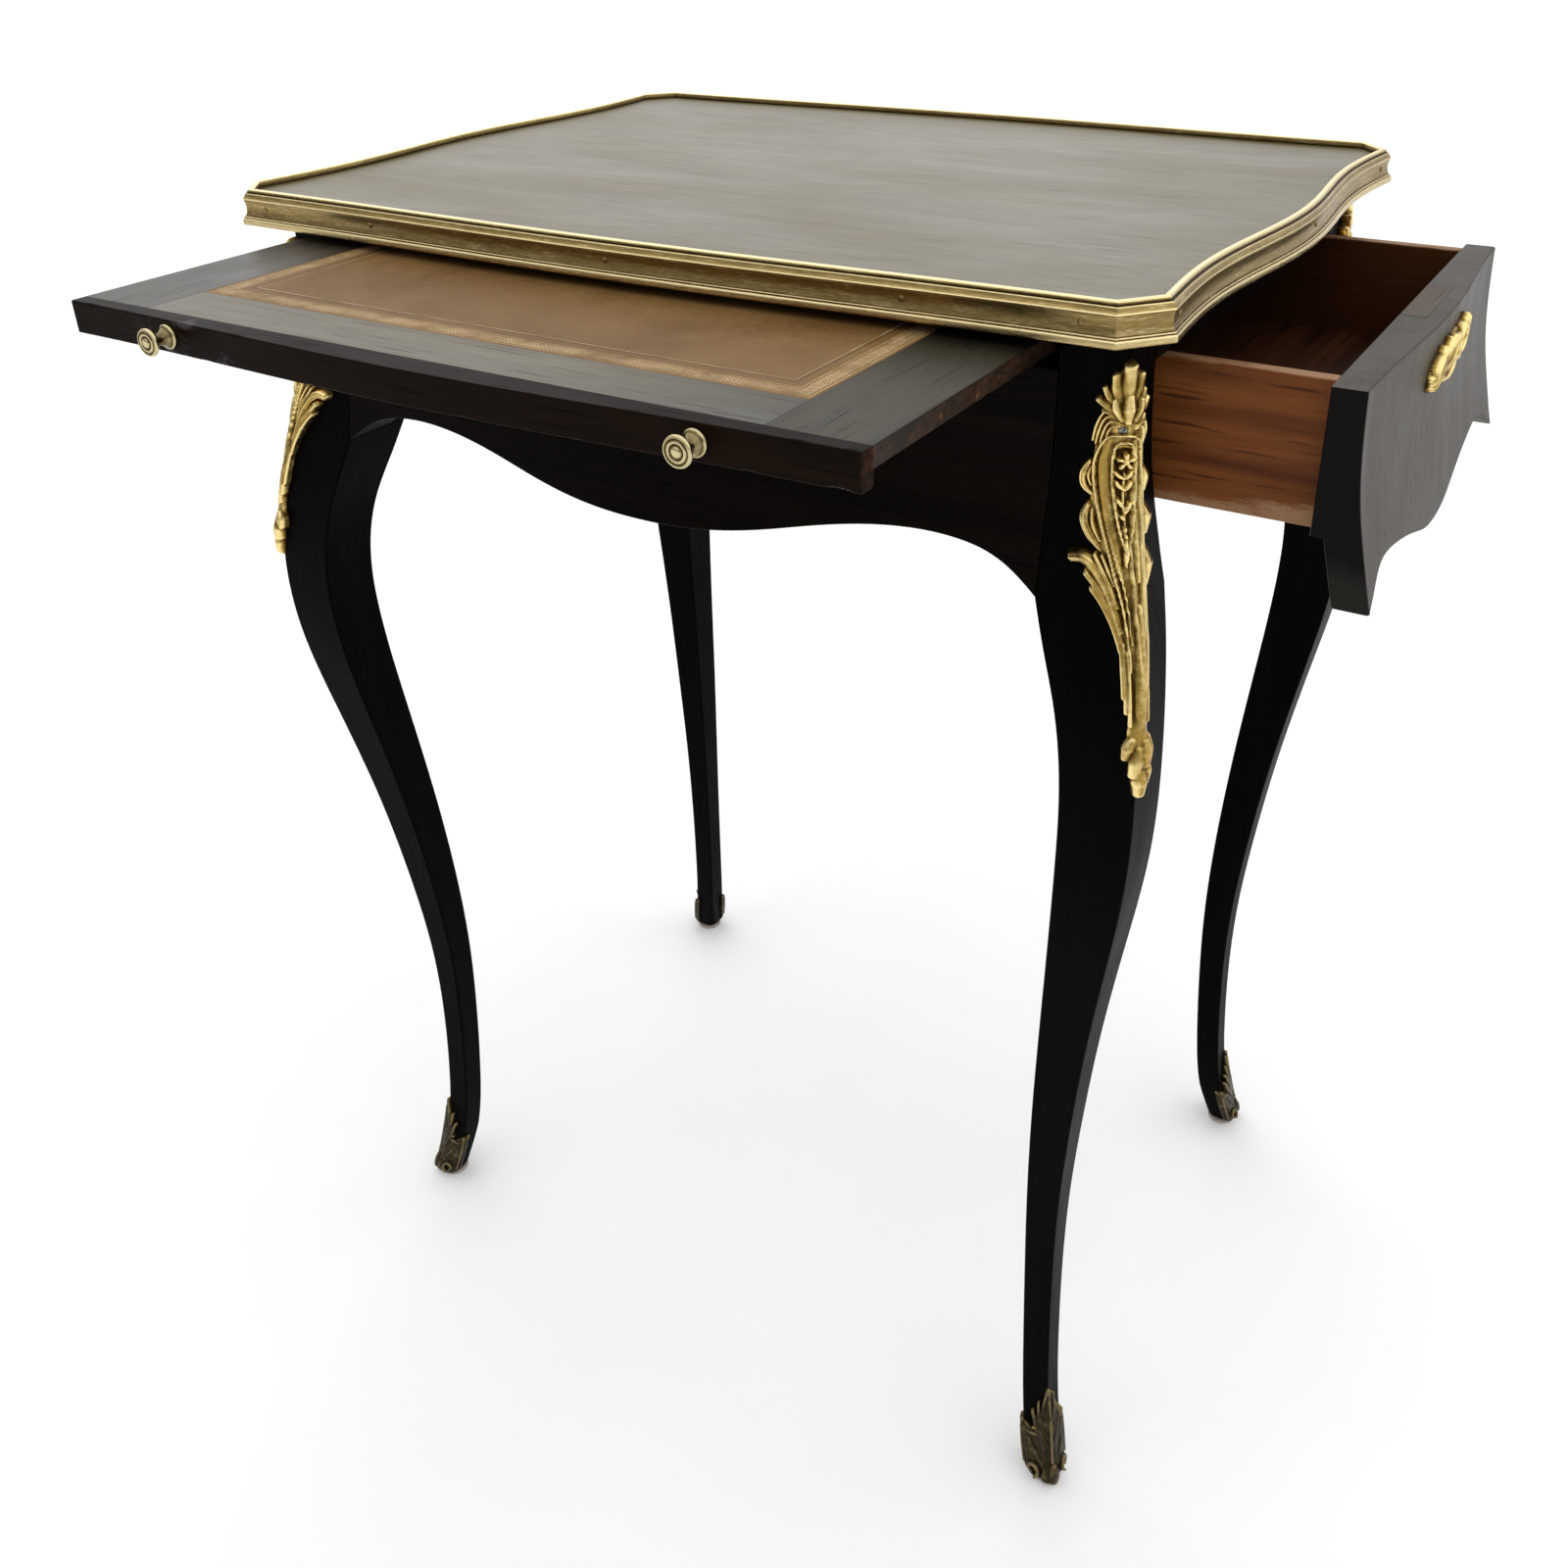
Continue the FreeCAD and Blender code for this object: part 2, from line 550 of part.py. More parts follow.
sabot_shape = Part.makeLoft([sabot_section(*shares) for shares in SABOT_SHARES], True, False)
sabot_shape = sabot_shape.cut(leg_shape)
pin_out = outer_curve_x(d.sabot_pin_height) + d.sabot_wall
pin_start = (p.post_x + pin_out - d.knee_side / 4, -p.post_y - pin_out, d.sabot_pin_height)
sabot_pin_shape = headed(pin_start, (0, -1, 0), d.sabot_pin_head, d.sabot_pin / 2,
                         d.sabot_pin, d.knee_side / 4)
foot_out = outer_curve_x(d.leg_foot)
foot_middle = foot_out - d.knee_side * SECTION_SHARES[-1][1] / 2
glide_shape = Part.makeCylinder(d.glide_diameter / 2, d.glide_height,
                                V(p.post_x + foot_middle, -p.post_y - foot_middle, 0))

leg_shape = leg_shape.cut(mount_screws).cut(sabot_pin_shape)
mount_shape = mount_shape.cut(mount_screws)
sabot_shape = sabot_shape.cut(sabot_pin_shape)
for end, sy in ENDS.items():
    for side, sx in SIDES.items():
        scripted(f"leg_{end}_{side}", placed(leg_shape, sx, sy))
        scripted(f"corner_mount_{end}_{side}", placed(mount_shape, sx, sy))
        scripted(f"sabot_{end}_{side}", placed(sabot_shape, sx, sy))
four = [(sx, sy) for sx in (LEFT, RIGHT) for sy in (FRONT, REAR)]
scripted("corner_mount_screws", group(placed(screw, *corner) for corner in four
                                      for screw in mount_screws.Solids))
scripted("sabot_pins", group(placed(sabot_pin_shape, *corner) for corner in four))
scripted("foot_glides", group(placed(glide_shape, *corner) for corner in four))


# Aprons: a swelled board whose lower edge is sawn to a line of (place, drop) shares
FRONT_EDGE_SHARES = ((-1.0, -1.0), (-0.945, -0.55), (-0.885, -0.22), (-0.815, -0.04),
                     (-0.72, 0.0), (-0.6, -0.1), (-0.46, -0.36), (-0.33, -0.66),
                     (-0.16, -0.93), (0.0, -1.0))
LOBE_SHARES = ((-0.74, 0.0), (-0.65, -0.06), (-0.54, -0.2), (-0.4, -0.43), (-0.27, -0.69),
               (-0.15, -0.91), (-0.07, -0.98), (0.0, -1.0))
SIDE_EDGE_SHARES = ((-1.0, -1.0), (-0.93, -0.62), (-0.87, -0.3), (-0.81, -0.05)) + LOBE_SHARES
BOMBE_SHARES = (0.0, 0.12, 0.25, 0.38, 0.5, 0.62, 0.75, 0.88, 1.0)
APRON_STATIONS = 8


def lower_line(shares, half, arch, lobe, end):
    """Half of the edge from its end to the middle, then the same mirrored."""
    points = []
    for place, drop in shares:
        fall = end if place < shares[3][0] else lobe
        points.append((place * half, arch + drop * fall))
    return points + [(-a, z) for a, z in points[-2::-1]]


def bulge(bow, share, z, fade, kick=0.0):
    """How far a swelled face stands beyond the leg's outer line; the kick is at its foot."""
    down = (p.underside - z) / d.post_drop
    return bow * swell(share) * (1 - fade * down) + kick * down ** 2


def swelled_board(half, back, low, high, bow, reach, fade=0.0, kick=0.0, inset=0.0):
    """A board across +X or Y whose face follows the leg's outer line and bows in plan.

    reach(along, out, z) gives the point; out is measured from the post's face. The bow
    fades downwards by fade; the face lies behind its place by inset.
    """
    sections = []
    for share in span(0, 1, APRON_STATIONS):
        along = half * (2 * share - 1)
        face = []
        for level in BOMBE_SHARES:
            z = high + (low - high) * level
            face.append(reach(along, outer_curve_x(z) + bulge(bow, share, z, fade, kick) - inset, z))
        top_back = reach(along, -back, high)
        low_back = reach(along, -back, low)
        sections.append(chain(face, [face[-1], low_back], [low_back, top_back],
                              [top_back, face[0]]))
    return Part.makeLoft(sections, True, False)


def sawn(board_shape, line, top, reach, depth):
    """Keeps what lies over the lower line and under top."""
    bottom = [reach(along, 0, z) for along, z in line]
    left_top = reach(line[0][0], 0, top)
    right_top = reach(line[-1][0], 0, top)
    face = Part.Face(chain(bottom, [bottom[-1], right_top], [right_top, left_top],
                           [left_top, bottom[0]]))
    start = V(*reach(0, -depth, 0)) - V(*reach(0, 0, 0))
    face.translate(start)
    return board_shape.common(face.extrude(start * -2))


def across_front(along, out, z):
    return (along, -p.post_y - out, z)


def across_left(along, out, z):
    return (-p.post_x - out, along, z)


def across_drawer(along, out, z):
    return (p.post_x + out + d.drawer_out, along, z)


apron_low = min(p.side_arch - d.side_drop, p.post_foot) - d.overrun
front_top = p.lip_bottom - d.slide_gap
front_line = lower_line(FRONT_EDGE_SHARES, p.inner_x, p.apron_arch, d.front_drop,
                        p.apron_arch - p.post_foot)
apron_front = sawn(swelled_board(p.inner_x, d.apron_inner, apron_low, front_top, d.rail_bow,
                                 across_front),
                   front_line, front_top, across_front, half_d)
scripted("apron_front", apron_front)
apron_rear = sawn(swelled_board(p.inner_x, d.apron_inner, apron_low, p.underside, d.rail_bow,
                                across_front),
                  front_line, p.underside, across_front, half_d)
scripted("apron_rear", mirrored(apron_rear, Y_AXIS))
side_line = lower_line(SIDE_EDGE_SHARES, p.inner_y, p.side_arch, d.side_drop,
                       p.side_arch - p.post_foot)
apron_left = sawn(swelled_board(p.inner_y, d.apron_inner, apron_low, p.underside, d.drawer_bow,
                                across_left, d.bow_fade),
                  side_line, p.underside, across_left, half_w)
scripted("apron_left", apron_left)

# Rails of the drawer opening
rail_low = p.drawer_top + 2 * d.drawer_gap
top_rail = swelled_board(p.inner_y, d.apron_inner, rail_low, p.underside, d.drawer_bow,
                         across_left, d.bow_fade)
scripted("drawer_top_rail", mirrored(top_rail, X_AXIS))
board("drawer_blade", "Sizes.blade_width", "2 * Places.inner_y", "Sizes.blade_height",
      "Places.front_back - Sizes.drawer_out - Sizes.drawer_gap - Sizes.blade_width",
      "-Places.inner_y",
      "Places.drawer_foot - Sizes.drawer_gap - Sizes.blade_height")


# Boards that carry and guide the slide
def side_board(label, side, width, height, depth, inner, foot, keep=True):
    """A board along Y on one side: inner is its distance from the middle."""
    x = inner if side == "right" else f"-({inner}) - ({width})"
    return board(label, width, f"2 * ({depth})", height, x, f"-({depth})", foot, keep)


for side in SIDES:
    side_board(f"slide_bearer_{side}", side, "Sizes.bearer_width", "Places.bearer_height",
               "Places.bay_y", "Places.slide_width / 2 - Sizes.bearer_width", "Places.bearer_foot")
    plain = side_board(f"plain_guide_{side}", side,
                       "Places.bay_x - Places.slide_width / 2 - Sizes.slide_side_gap",
                       "Sizes.guide_height", "Places.inner_y",
                       "Places.slide_width / 2 + Sizes.slide_side_gap",
                       "Places.underside - Sizes.guide_height", keep=False)
    tool = doc.addObject("Part::Feature", f"guide_screw_holes_{side}")
    tool.Shape = top_screws
    guide = doc.addObject("Part::Cut", f"slide_guide_{side}")
    guide.Base = plain
    guide.Tool = tool
    nodes.append(guide)


# Drawer runners with their guides, and the strips over the drawer sides
def origin_plane(body, role):
    return next(feature for feature in body.Origin.OriginFeatures if feature.Role == role)


def new_sketch(body, name, role):
    sketch = body.newObject("Sketcher::SketchObject", name)
    sketch.AttachmentSupport = [(origin_plane(body, role), "")]
    sketch.MapMode = "FlatFace"
    return sketch


def outline_sketch(body, name, role, corners):
    """A closed outline of straight lines; each corner's two distances are formulas."""
    sketch = new_sketch(body, name, role)
    count = len(corners)
    for index in range(count):
        start = V(index + 1, index * index, 0)
        end = V((index + 1) % count + 1, ((index + 1) % count) ** 2, 0)
        sketch.addGeometry(Part.LineSegment(start, end), False)
    for index in range(count):
        sketch.addConstraint(Sketcher.Constraint("Coincident", index, 2, (index + 1) % count, 1))
    for index, (across, up) in enumerate(corners):
        for kind, formula, tag in (("DistanceX", across, "across"), ("DistanceY", up, "up")):
            number = sketch.addConstraint(
                Sketcher.Constraint(kind, -1, 1, index, 1, 1.0 + index))
            sketch.renameConstraint(number, f"{tag}_{index}")
            sketch.setExpression(f"Constraints.{tag}_{index}", formula)
    return sketch


def body_of(label):
    body = doc.addObject("PartDesign::Body", label)
    nodes.append(body)
    return body


def padded_outline(label, role, corners, length):
    """A straight-edged outline padded to a length: the body's only feature so far."""
    body = body_of(label)
    sketch = outline_sketch(body, label + "_outline", role, corners)
    pad = body.newObject("PartDesign::Pad", label + "_pad")
    pad.Profile = sketch
    pad.setExpression("Length", length)
    return body


for end, sy in ENDS.items():
    sign = "" if sy > 0 else "-"
    inner_edge = f"{sign}(Sizes.runner_width - Sizes.drawer_guide)"
    outer_edge = f"{sign}Sizes.runner_width"
    runner = padded_outline(
        f"drawer_runner_{end}", "YZ_Plane",
        (("0", "0"), (outer_edge, "0"), (outer_edge, "Sizes.runner_guide"),
         (inner_edge, "Sizes.runner_guide"), (inner_edge, "Sizes.runner_height"),
         ("0", "Sizes.runner_height")),
        "Places.bay_x + Places.front_back - Sizes.drawer_out - Sizes.drawer_gap"
        " - Sizes.blade_width")
    bind(runner, Placement_Base_x="-Places.bay_x",
         Placement_Base_y=f"{sign}(Places.inner_y - Sizes.runner_width)",
         Placement_Base_z="Places.drawer_foot - Sizes.drawer_gap - Sizes.runner_height")
    kicker_y = "Places.inner_y - Sizes.kicker_width" if sy > 0 else "-Places.inner_y"
    board(f"drawer_kicker_{end}", "2 * Places.bay_x", "Sizes.kicker_width",
          "Sizes.kicker_height", "-Places.bay_x", kicker_y, "Places.kicker_foot")

block_side = p.bay_y - p.inner_y
block_foot = p.block_top - d.block_height
block = Part.Face(polygon(((p.inner_x, -p.bay_y, block_foot),
                           (p.inner_x, -p.inner_y, block_foot),
                           (p.inner_x - block_side, -p.bay_y, block_foot))))
block = block.extrude(V(0, 0, d.block_height))
scripted("glue_blocks", group(placed(block, *corner) for corner in four))

# Writing slide: a frame with a bowed front edging round a core that carries the leather
FRAME_HALF = "Places.slide_width / 2"
CORE_HALF = "(Places.slide_width / 2 - Sizes.stile_width)"
for side, x in (("left", f"-{FRAME_HALF}"), ("right", CORE_HALF)):
    board(f"slide_stile_{side}", "Sizes.stile_width", "Places.slide_back - Places.lip_back",
          "Sizes.slide_thickness", x, "Places.lip_back", "Places.slide_bottom")
CORE_FRONT = "Places.lip_back + Sizes.front_rail_width"
CORE_DEPTH = "Places.slide_back - Places.lip_back - Sizes.front_rail_width - Sizes.rear_rail_width"
board("slide_leather", f"2 * {CORE_HALF}", CORE_DEPTH, "Sizes.leather_thickness",
      f"-{CORE_HALF}", CORE_FRONT, "Places.slide_top - Sizes.leather_thickness")


def drilled(label, plain, tool_shape):
    """A node made of a plain board and the holes in it."""
    tool = doc.addObject("Part::Feature", label + "_holes")
    tool.Shape = tool_shape
    piece = doc.addObject("Part::Cut", label)
    piece.Base = plain
    piece.Tool = tool
    nodes.append(piece)


pin_foot = p.bearer_foot - d.stop_bite
pin_rise = p.slide_bottom + d.slide_thickness / 2 - pin_foot
pin_y = p.slide_back - d.stop_pin_back
stop_pins = group(Part.makeCylinder(d.stop_pin / 2, pin_rise,
                                    V(sx * p.stop_pin_place, pin_y, pin_foot))
                  for sx in (LEFT, RIGHT))
board("slide_core", f"2 * {CORE_HALF}", CORE_DEPTH,
      "Sizes.slide_thickness - Sizes.leather_thickness", f"-{CORE_HALF}", CORE_FRONT,
      "Places.slide_bottom")
rear_rail = board("plain_rear_rail", f"2 * {CORE_HALF}", "Sizes.rear_rail_width",
                  "Sizes.slide_thickness", f"-{CORE_HALF}",
                  "Places.slide_back - Sizes.rear_rail_width", "Places.slide_bottom",
                  keep=False)
drilled("slide_rear_rail", rear_rail, stop_pins)
scripted("slide_stop_pins", stop_pins)

KNOB_PROFILE_SHARES = ((0.0, 1.0, "flange"), (0.13, 1.0, "flange"), (0.24, 0.62, "flange"),
                       (0.42, 1.0, "waist"), (0.58, 1.0, "waist"), (0.74, 0.66, "disc"),
                       (0.82, 1.0, "disc"), (0.9, 1.0, "disc"), (0.94, 0.82, "disc"),
                       (0.93, 0.5, "disc"), (1.0, 0.3, "disc"))
KNOB_PARTS = {"flange": "Sizes.knob_flange", "waist": "Sizes.knob_waist",
              "disc": "Sizes.knob_diameter"}


def knob(label, x, y, z):
    """A turned knob with its screw, as one revolution; its axis points out of the edging."""
    corners = [("0", "-Sizes.knob_shank_length"),
               ("Sizes.knob_shank / 2", "-Sizes.knob_shank_length"),
               ("Sizes.knob_shank / 2", "0")]
    for along, wide, part_name in KNOB_PROFILE_SHARES:
        corners.append((f"{wide} * {KNOB_PARTS[part_name]} / 2", f"{along} * Sizes.knob_length"))
    corners.append(("0", "Sizes.knob_length"))
    body = body_of(label)
    sketch = outline_sketch(body, label + "_profile", "XZ_Plane", corners)
    turning = body.newObject("PartDesign::Revolution", label + "_turning")
    turning.Profile = sketch
    turning.ReferenceAxis = (sketch, ["V_Axis"])
    turning.Angle = 360
    body.Placement = FreeCAD.Placement(V(x, y, z), FreeCAD.Rotation(X_AXIS, 90))
    return body


def rail_face(x, half):
    """Depth of the swelled front face at a place across it, from the floor's middle."""
    return -p.post_y - d.rail_bow * swell((x / half + 1) / 2)


slide_half = p.slide_width / 2
knob_z = (p.lip_bottom + p.slide_top) / 2
knob_y = rail_face(p.knob_place, slide_half) - p.slide_out
knobs = [knob(f"slide_knob_{side}", sx * p.knob_place, knob_y, knob_z)
         for side, sx in SIDES.items()]
doc.recompute()
knob_shapes = group(body.Shape for body in knobs)

edging = [(x, rail_face(x, slide_half) - p.slide_out, p.lip_bottom)
          for x in span(-slide_half, slide_half, WAVE_STEPS)]
back_left = (-slide_half, p.lip_back, p.lip_bottom)
back_right = (slide_half, p.lip_back, p.lip_bottom)
edging_face = Part.Face(chain(edging, [edging[-1], back_right], [back_right, back_left],
                              [back_left, edging[0]]))
edging_shape = edging_face.extrude(V(0, 0, d.lip_height)).cut(knob_shapes)
scripted("slide_front_edging", edging_shape)
rail = board("plain_front_rail", f"2 * {CORE_HALF}", "Sizes.front_rail_width",
             "Sizes.slide_thickness", f"-{CORE_HALF}", "Places.lip_back",
             "Places.slide_bottom", keep=False)
drilled("slide_front_rail", rail, knob_shapes)

# Drawer
FRONT_SHARES = ((-1.0, -1.0), (-0.93, -0.66), (-0.875, -0.33), (-0.82, -0.06)) + LOBE_SHARES
front_half = p.inner_y - d.drawer_gap
drawer_line = lower_line(FRONT_SHARES, front_half, p.side_arch, d.side_drop,
                         p.side_arch - p.post_foot - d.front_corner_rise)
front_board = sawn(swelled_board(front_half, d.front_thickness, apron_low, p.drawer_top,
                                 d.drawer_bow, across_drawer, d.bow_fade, d.drawer_kick),
                   drawer_line, p.drawer_top, across_drawer, half_w + d.drawer_out)
front_board = front_board.cut(swelled_board(front_half, d.front_thickness + d.overrun, apron_low,
                                            p.drawer_foot, d.drawer_bow, across_drawer,
                                            d.bow_fade, d.drawer_kick, d.front_skirt))


PULL_STEPS = 24
PULL_WAVES = 5
PULL_WAVE_SHARE = 0.08
PULL_TILT_SHARE = 0.03
PULL_HOLLOW_SHARE = 0.3
PULL_PIN_SHARE = 0.38


def pull_outline(scale):
    """An uneven leafy oval, drawn upright on the drawer front's plane."""
    points = []
    for step in range(PULL_STEPS):
        angle = 2 * pi * step / PULL_STEPS
        leaf = 1 + PULL_WAVE_SHARE * cos(PULL_WAVES * angle)
        across = d.pull_length / 2 * leaf * cos(angle)
        up = d.pull_height / 2 * leaf * cos(angle - pi / 2) + across * PULL_TILT_SHARE
        points.append((0, d.pull_place + across * scale, p.pull_level + up * scale))
    return points


outline = pull_outline(1)
pull_face = Part.Face(Part.Wire([spline(outline + outline[:1])]))
hollow = pull_outline(PULL_HOLLOW_SHARE)
hollow_face = Part.Face(Part.Wire([spline(hollow + hollow[:1])]))
reach = V(half_w + d.drawer_out + d.knee_swell, 0, 0)
moved_front = front_board.copy()
moved_front.translate(V(d.pull_relief, 0, 0))
pull_shape = pull_face.extrude(reach).cut(hollow_face.extrude(reach))
pull_shape = pull_shape.common(moved_front).cut(front_board)


def pull_pin(side):
    across = d.pull_place + side * PULL_PIN_SHARE * d.pull_length
    up = p.pull_level + side * PULL_PIN_SHARE * d.pull_length * PULL_TILT_SHARE
    bow = bulge(d.drawer_bow, (across / front_half + 1) / 2, up, d.bow_fade, d.drawer_kick)
    x = p.post_x + d.drawer_out + outer_curve_x(up) + bow + d.pull_relief
    return headed((x, across, up), (1, 0, 0), d.pin_head, d.pin_rise, d.pin_shank, d.pin_length)


pull_pins = group(pull_pin(side) for side in (LEFT, RIGHT))
board("lock_patch", "Sizes.patch_width", "Sizes.patch_length", "Sizes.patch_depth",
      "Places.front_back", "Sizes.patch_place - Sizes.patch_length / 2",
      "Places.drawer_top - Sizes.patch_depth")
patch_hole = Part.makeBox(d.patch_width, d.patch_length, d.patch_depth,
                          V(p.front_back, d.patch_place - d.patch_length / 2,
                            p.drawer_top - d.patch_depth))
scripted("drawer_front", front_board.cut(patch_hole).cut(pull_pins))
scripted("drawer_pull", pull_shape.cut(pull_pins))
scripted("drawer_pull_pins", pull_pins)

for end, sy in ENDS.items():
    label = f"drawer_side_{end}"
    body = padded_outline(label, "XY_Plane",
                          (("0", "0"), ("Places.drawer_box_length", "0"),
                           ("Places.drawer_box_length", "Sizes.drawer_wall"),
                           ("0", "Sizes.drawer_wall")), "Sizes.drawer_height")
    doc.recompute()
    before = body.Shape.Volume
    low = "0" if sy > 0 else "Sizes.drawer_wall - Sizes.floor_groove"
    high = "Sizes.floor_groove" if sy > 0 else "Sizes.drawer_wall"
    groove_top = "Sizes.floor_rise + Sizes.drawer_floor"
    groove_sketch = outline_sketch(body, label + "_groove_outline", "YZ_Plane",
                                   ((low, "Sizes.floor_rise"), (high, "Sizes.floor_rise"),
                                    (high, groove_top), (low, groove_top)))
    groove = body.newObject("PartDesign::Pocket", label + "_groove")
    groove.Profile = groove_sketch
    groove.Type = "ThroughAll"
    groove.Midplane = True
    doc.recompute()
    assert body.Shape.Volume < before, label
    wall_y = ("Places.drawer_box_width / 2 - Sizes.drawer_wall" if sy > 0
              else "-Places.drawer_box_width / 2")
    bind(body, Placement_Base_x="Places.box_back", Placement_Base_y=wall_y,
         Placement_Base_z="Places.drawer_foot")

BOX_INSIDE = "(Places.drawer_box_width / 2 - Sizes.drawer_wall)"
FLOOR_TOP = "(Sizes.floor_rise + Sizes.drawer_floor)"
board("drawer_back", "Sizes.drawer_wall", f"2 * {BOX_INSIDE}",
      f"Sizes.drawer_height - {FLOOR_TOP}", "Places.box_back",
      f"-{BOX_INSIDE}", f"Places.drawer_foot + {FLOOR_TOP}")
board("drawer_bottom", "Places.drawer_box_length", f"2 * {BOX_INSIDE} + 2 * Sizes.floor_groove",
      "Sizes.drawer_floor", "Places.box_back", f"-{BOX_INSIDE} - Sizes.floor_groove",
      "Places.drawer_foot + Sizes.floor_rise")

# Checks, then one file for each node
doc.recompute()
failed = [item.Label for item in doc.Objects
          if "Invalid" in item.State or "Error" in item.State]
failed += [piece.Label for piece in nodes if piece.Shape.isNull() or not piece.Shape.isValid()]
assert not failed, failed
for piece in nodes:
    piece.Shape.exportStep(f"parts/{piece.Label}.step")
print(len(nodes), "nodes")
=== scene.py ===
import math

import bmesh
import bpy
import numpy as np
from mathutils import Matrix, Vector


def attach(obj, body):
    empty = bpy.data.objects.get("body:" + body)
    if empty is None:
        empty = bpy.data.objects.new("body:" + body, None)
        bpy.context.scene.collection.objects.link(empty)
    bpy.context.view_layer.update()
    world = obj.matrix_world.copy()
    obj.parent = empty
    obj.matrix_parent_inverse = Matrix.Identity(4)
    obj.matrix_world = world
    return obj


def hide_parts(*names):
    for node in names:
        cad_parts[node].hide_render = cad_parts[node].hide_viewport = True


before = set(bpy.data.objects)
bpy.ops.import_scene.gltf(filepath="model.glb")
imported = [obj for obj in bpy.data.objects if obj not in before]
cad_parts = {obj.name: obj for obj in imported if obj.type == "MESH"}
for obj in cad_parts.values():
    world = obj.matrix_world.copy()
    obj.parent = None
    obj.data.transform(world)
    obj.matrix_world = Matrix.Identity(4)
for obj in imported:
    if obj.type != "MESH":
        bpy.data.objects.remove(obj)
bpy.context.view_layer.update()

# Sizes of the part in millimetres, as in its source
MM = 0.001
HALF_WIDTH, HALF_DEPTH = 268.0, 201.0
UNDERSIDE = 730.0
CANT_X, CANT_Y = 18.0, 21.0
FRONT_BOW, SIDE_WAVE = 5.0, 4.0
POST_X, POST_Y, POST_SIDE, POST_FOOT = 246.3, 171.5, 31.5, 608.0
INNER_X, INNER_Y = 214.8, 140.0
KNEE_SWELL, KNEE_SIDE, LEG_FOOT = 28.1, 37.0, 5.0
MOUNT_TOP = 719.0
SABOT_TOP, GLIDE_HIGH, GLIDE_RADIUS = 70.0, 3.0, 10.0
GLIDE_X, GLIDE_Y = 249.92, 175.12
APRON_INNER, APRON_ARCH, SIDE_ARCH, APRON_GAP = 19.5, 627.0, 625.0, 0.6
FRONT_DROP, SIDE_DROP, CORNER_RISE = 23.0, 19.5, 3.0
RAIL_BOW, DRAWER_BOW, BOW_FADE, DRAWER_KICK = 6.0, 7.0, 1.28, 2.4
SLIDE_TOP, SLIDE_BOTTOM, LIP_BOTTOM = 725.4, 716.8, 710.0
SLIDE_HALF, SLIDE_OUT, SLIDE_BACK = 212.5, 164.0, -35.5
LIP_BACK, STILE, FRONT_RAIL = -327.5, 44.5, 31.5
KNOB_X, KNOB_Z = 144.0, 717.7
DRAWER_OUT, DRAWER_TOP, DRAWER_FOOT = 89.2, 708.5, 642.2
DRAWER_FRONT_BACK, DRAWER_HALF, DRAWER_WALL = 320.7, 129.8, 8.0
DRAWER_BACK_X = -59.3
FRONT_HALF, FRONT_THICK, FRONT_SKIRT = 139.4, 14.8, 16.5
PULL_Y, PULL_Z, PULL_SCALE = 3.0, 688.0, 0.7
PATCH_Y, PATCH_LONG, PATCH_WIDE, PATCH_DEEP, PATCH_PROUD = 12.0, 60.0, 12.4, 2.5, 0.15


# Curves
def cubic(knots, values):
    """A smooth curve through the values, as a function of the knots' coordinate."""
    x = np.asarray(knots, float)
    y = np.asarray(values, float)
    gap = np.diff(x)
    count = len(x)
    system = np.eye(count)
    right = np.zeros_like(y)
    for i in range(1, count - 1):
        system[i, i - 1:i + 2] = gap[i - 1], 2 * (gap[i - 1] + gap[i]), gap[i]
        right[i] = 6 * ((y[i + 1] - y[i]) / gap[i] - (y[i] - y[i - 1]) / gap[i - 1])
    bend = np.linalg.solve(system, right)

    def at(place):
        t = np.asarray(place, float)
        i = np.clip(np.searchsorted(x, t) - 1, 0, count - 2)
        before, after, step = t - x[i], x[i + 1] - t, gap[i]
        if y.ndim == 2:
            before, after, step = before[..., None], after[..., None], step[..., None]
        return ((bend[i] * after ** 3 + bend[i + 1] * before ** 3) / (6 * step)
                + (y[i] / step - bend[i] * step / 6) * after
                + (y[i + 1] / step - bend[i + 1] * step / 6) * before)
    return at


def smooth_line(points, count):
    """Points along a smooth curve through the given ones."""
    points = np.asarray(points, float)
    if len(points) == 2:
        return points[0] + (points[1] - points[0]) * np.linspace(0, 1, count)[:, None]
    runs = np.linalg.norm(np.diff(points, axis=0), axis=1)
    travelled = np.concatenate([[0], np.cumsum(runs)])
    return cubic(travelled, points)(np.linspace(0, travelled[-1], count))


def bend_between(start, corner, end, steps=4):
    """Points of a rounded corner, both ends among them."""
    start, corner, end = (np.asarray(point, float) for point in (start, corner, end))
    return [tuple((1 - s) ** 2 * start + 2 * s * (1 - s) * corner + s ** 2 * end)
            for s in np.linspace(0, 1, steps + 1)]


def rounded(corners, radius, steps=3):
    """A closed outline whose corners are rounded; radius is one number or one for each corner."""
    corners = np.asarray(corners, float)
    count = len(corners)
    radii = np.broadcast_to(radius, (count,))
    outline = []
    for i in range(count):
        here, before, after = corners[i], corners[i - 1], corners[(i + 1) % count]
        ends = []
        for other in (before, after):
            run = np.linalg.norm(other - here)
            ends.append(here + (other - here) / run * min(radii[i], run * 0.48))
        outline += bend_between(ends[0], here, ends[1], steps)
    return np.array(outline)


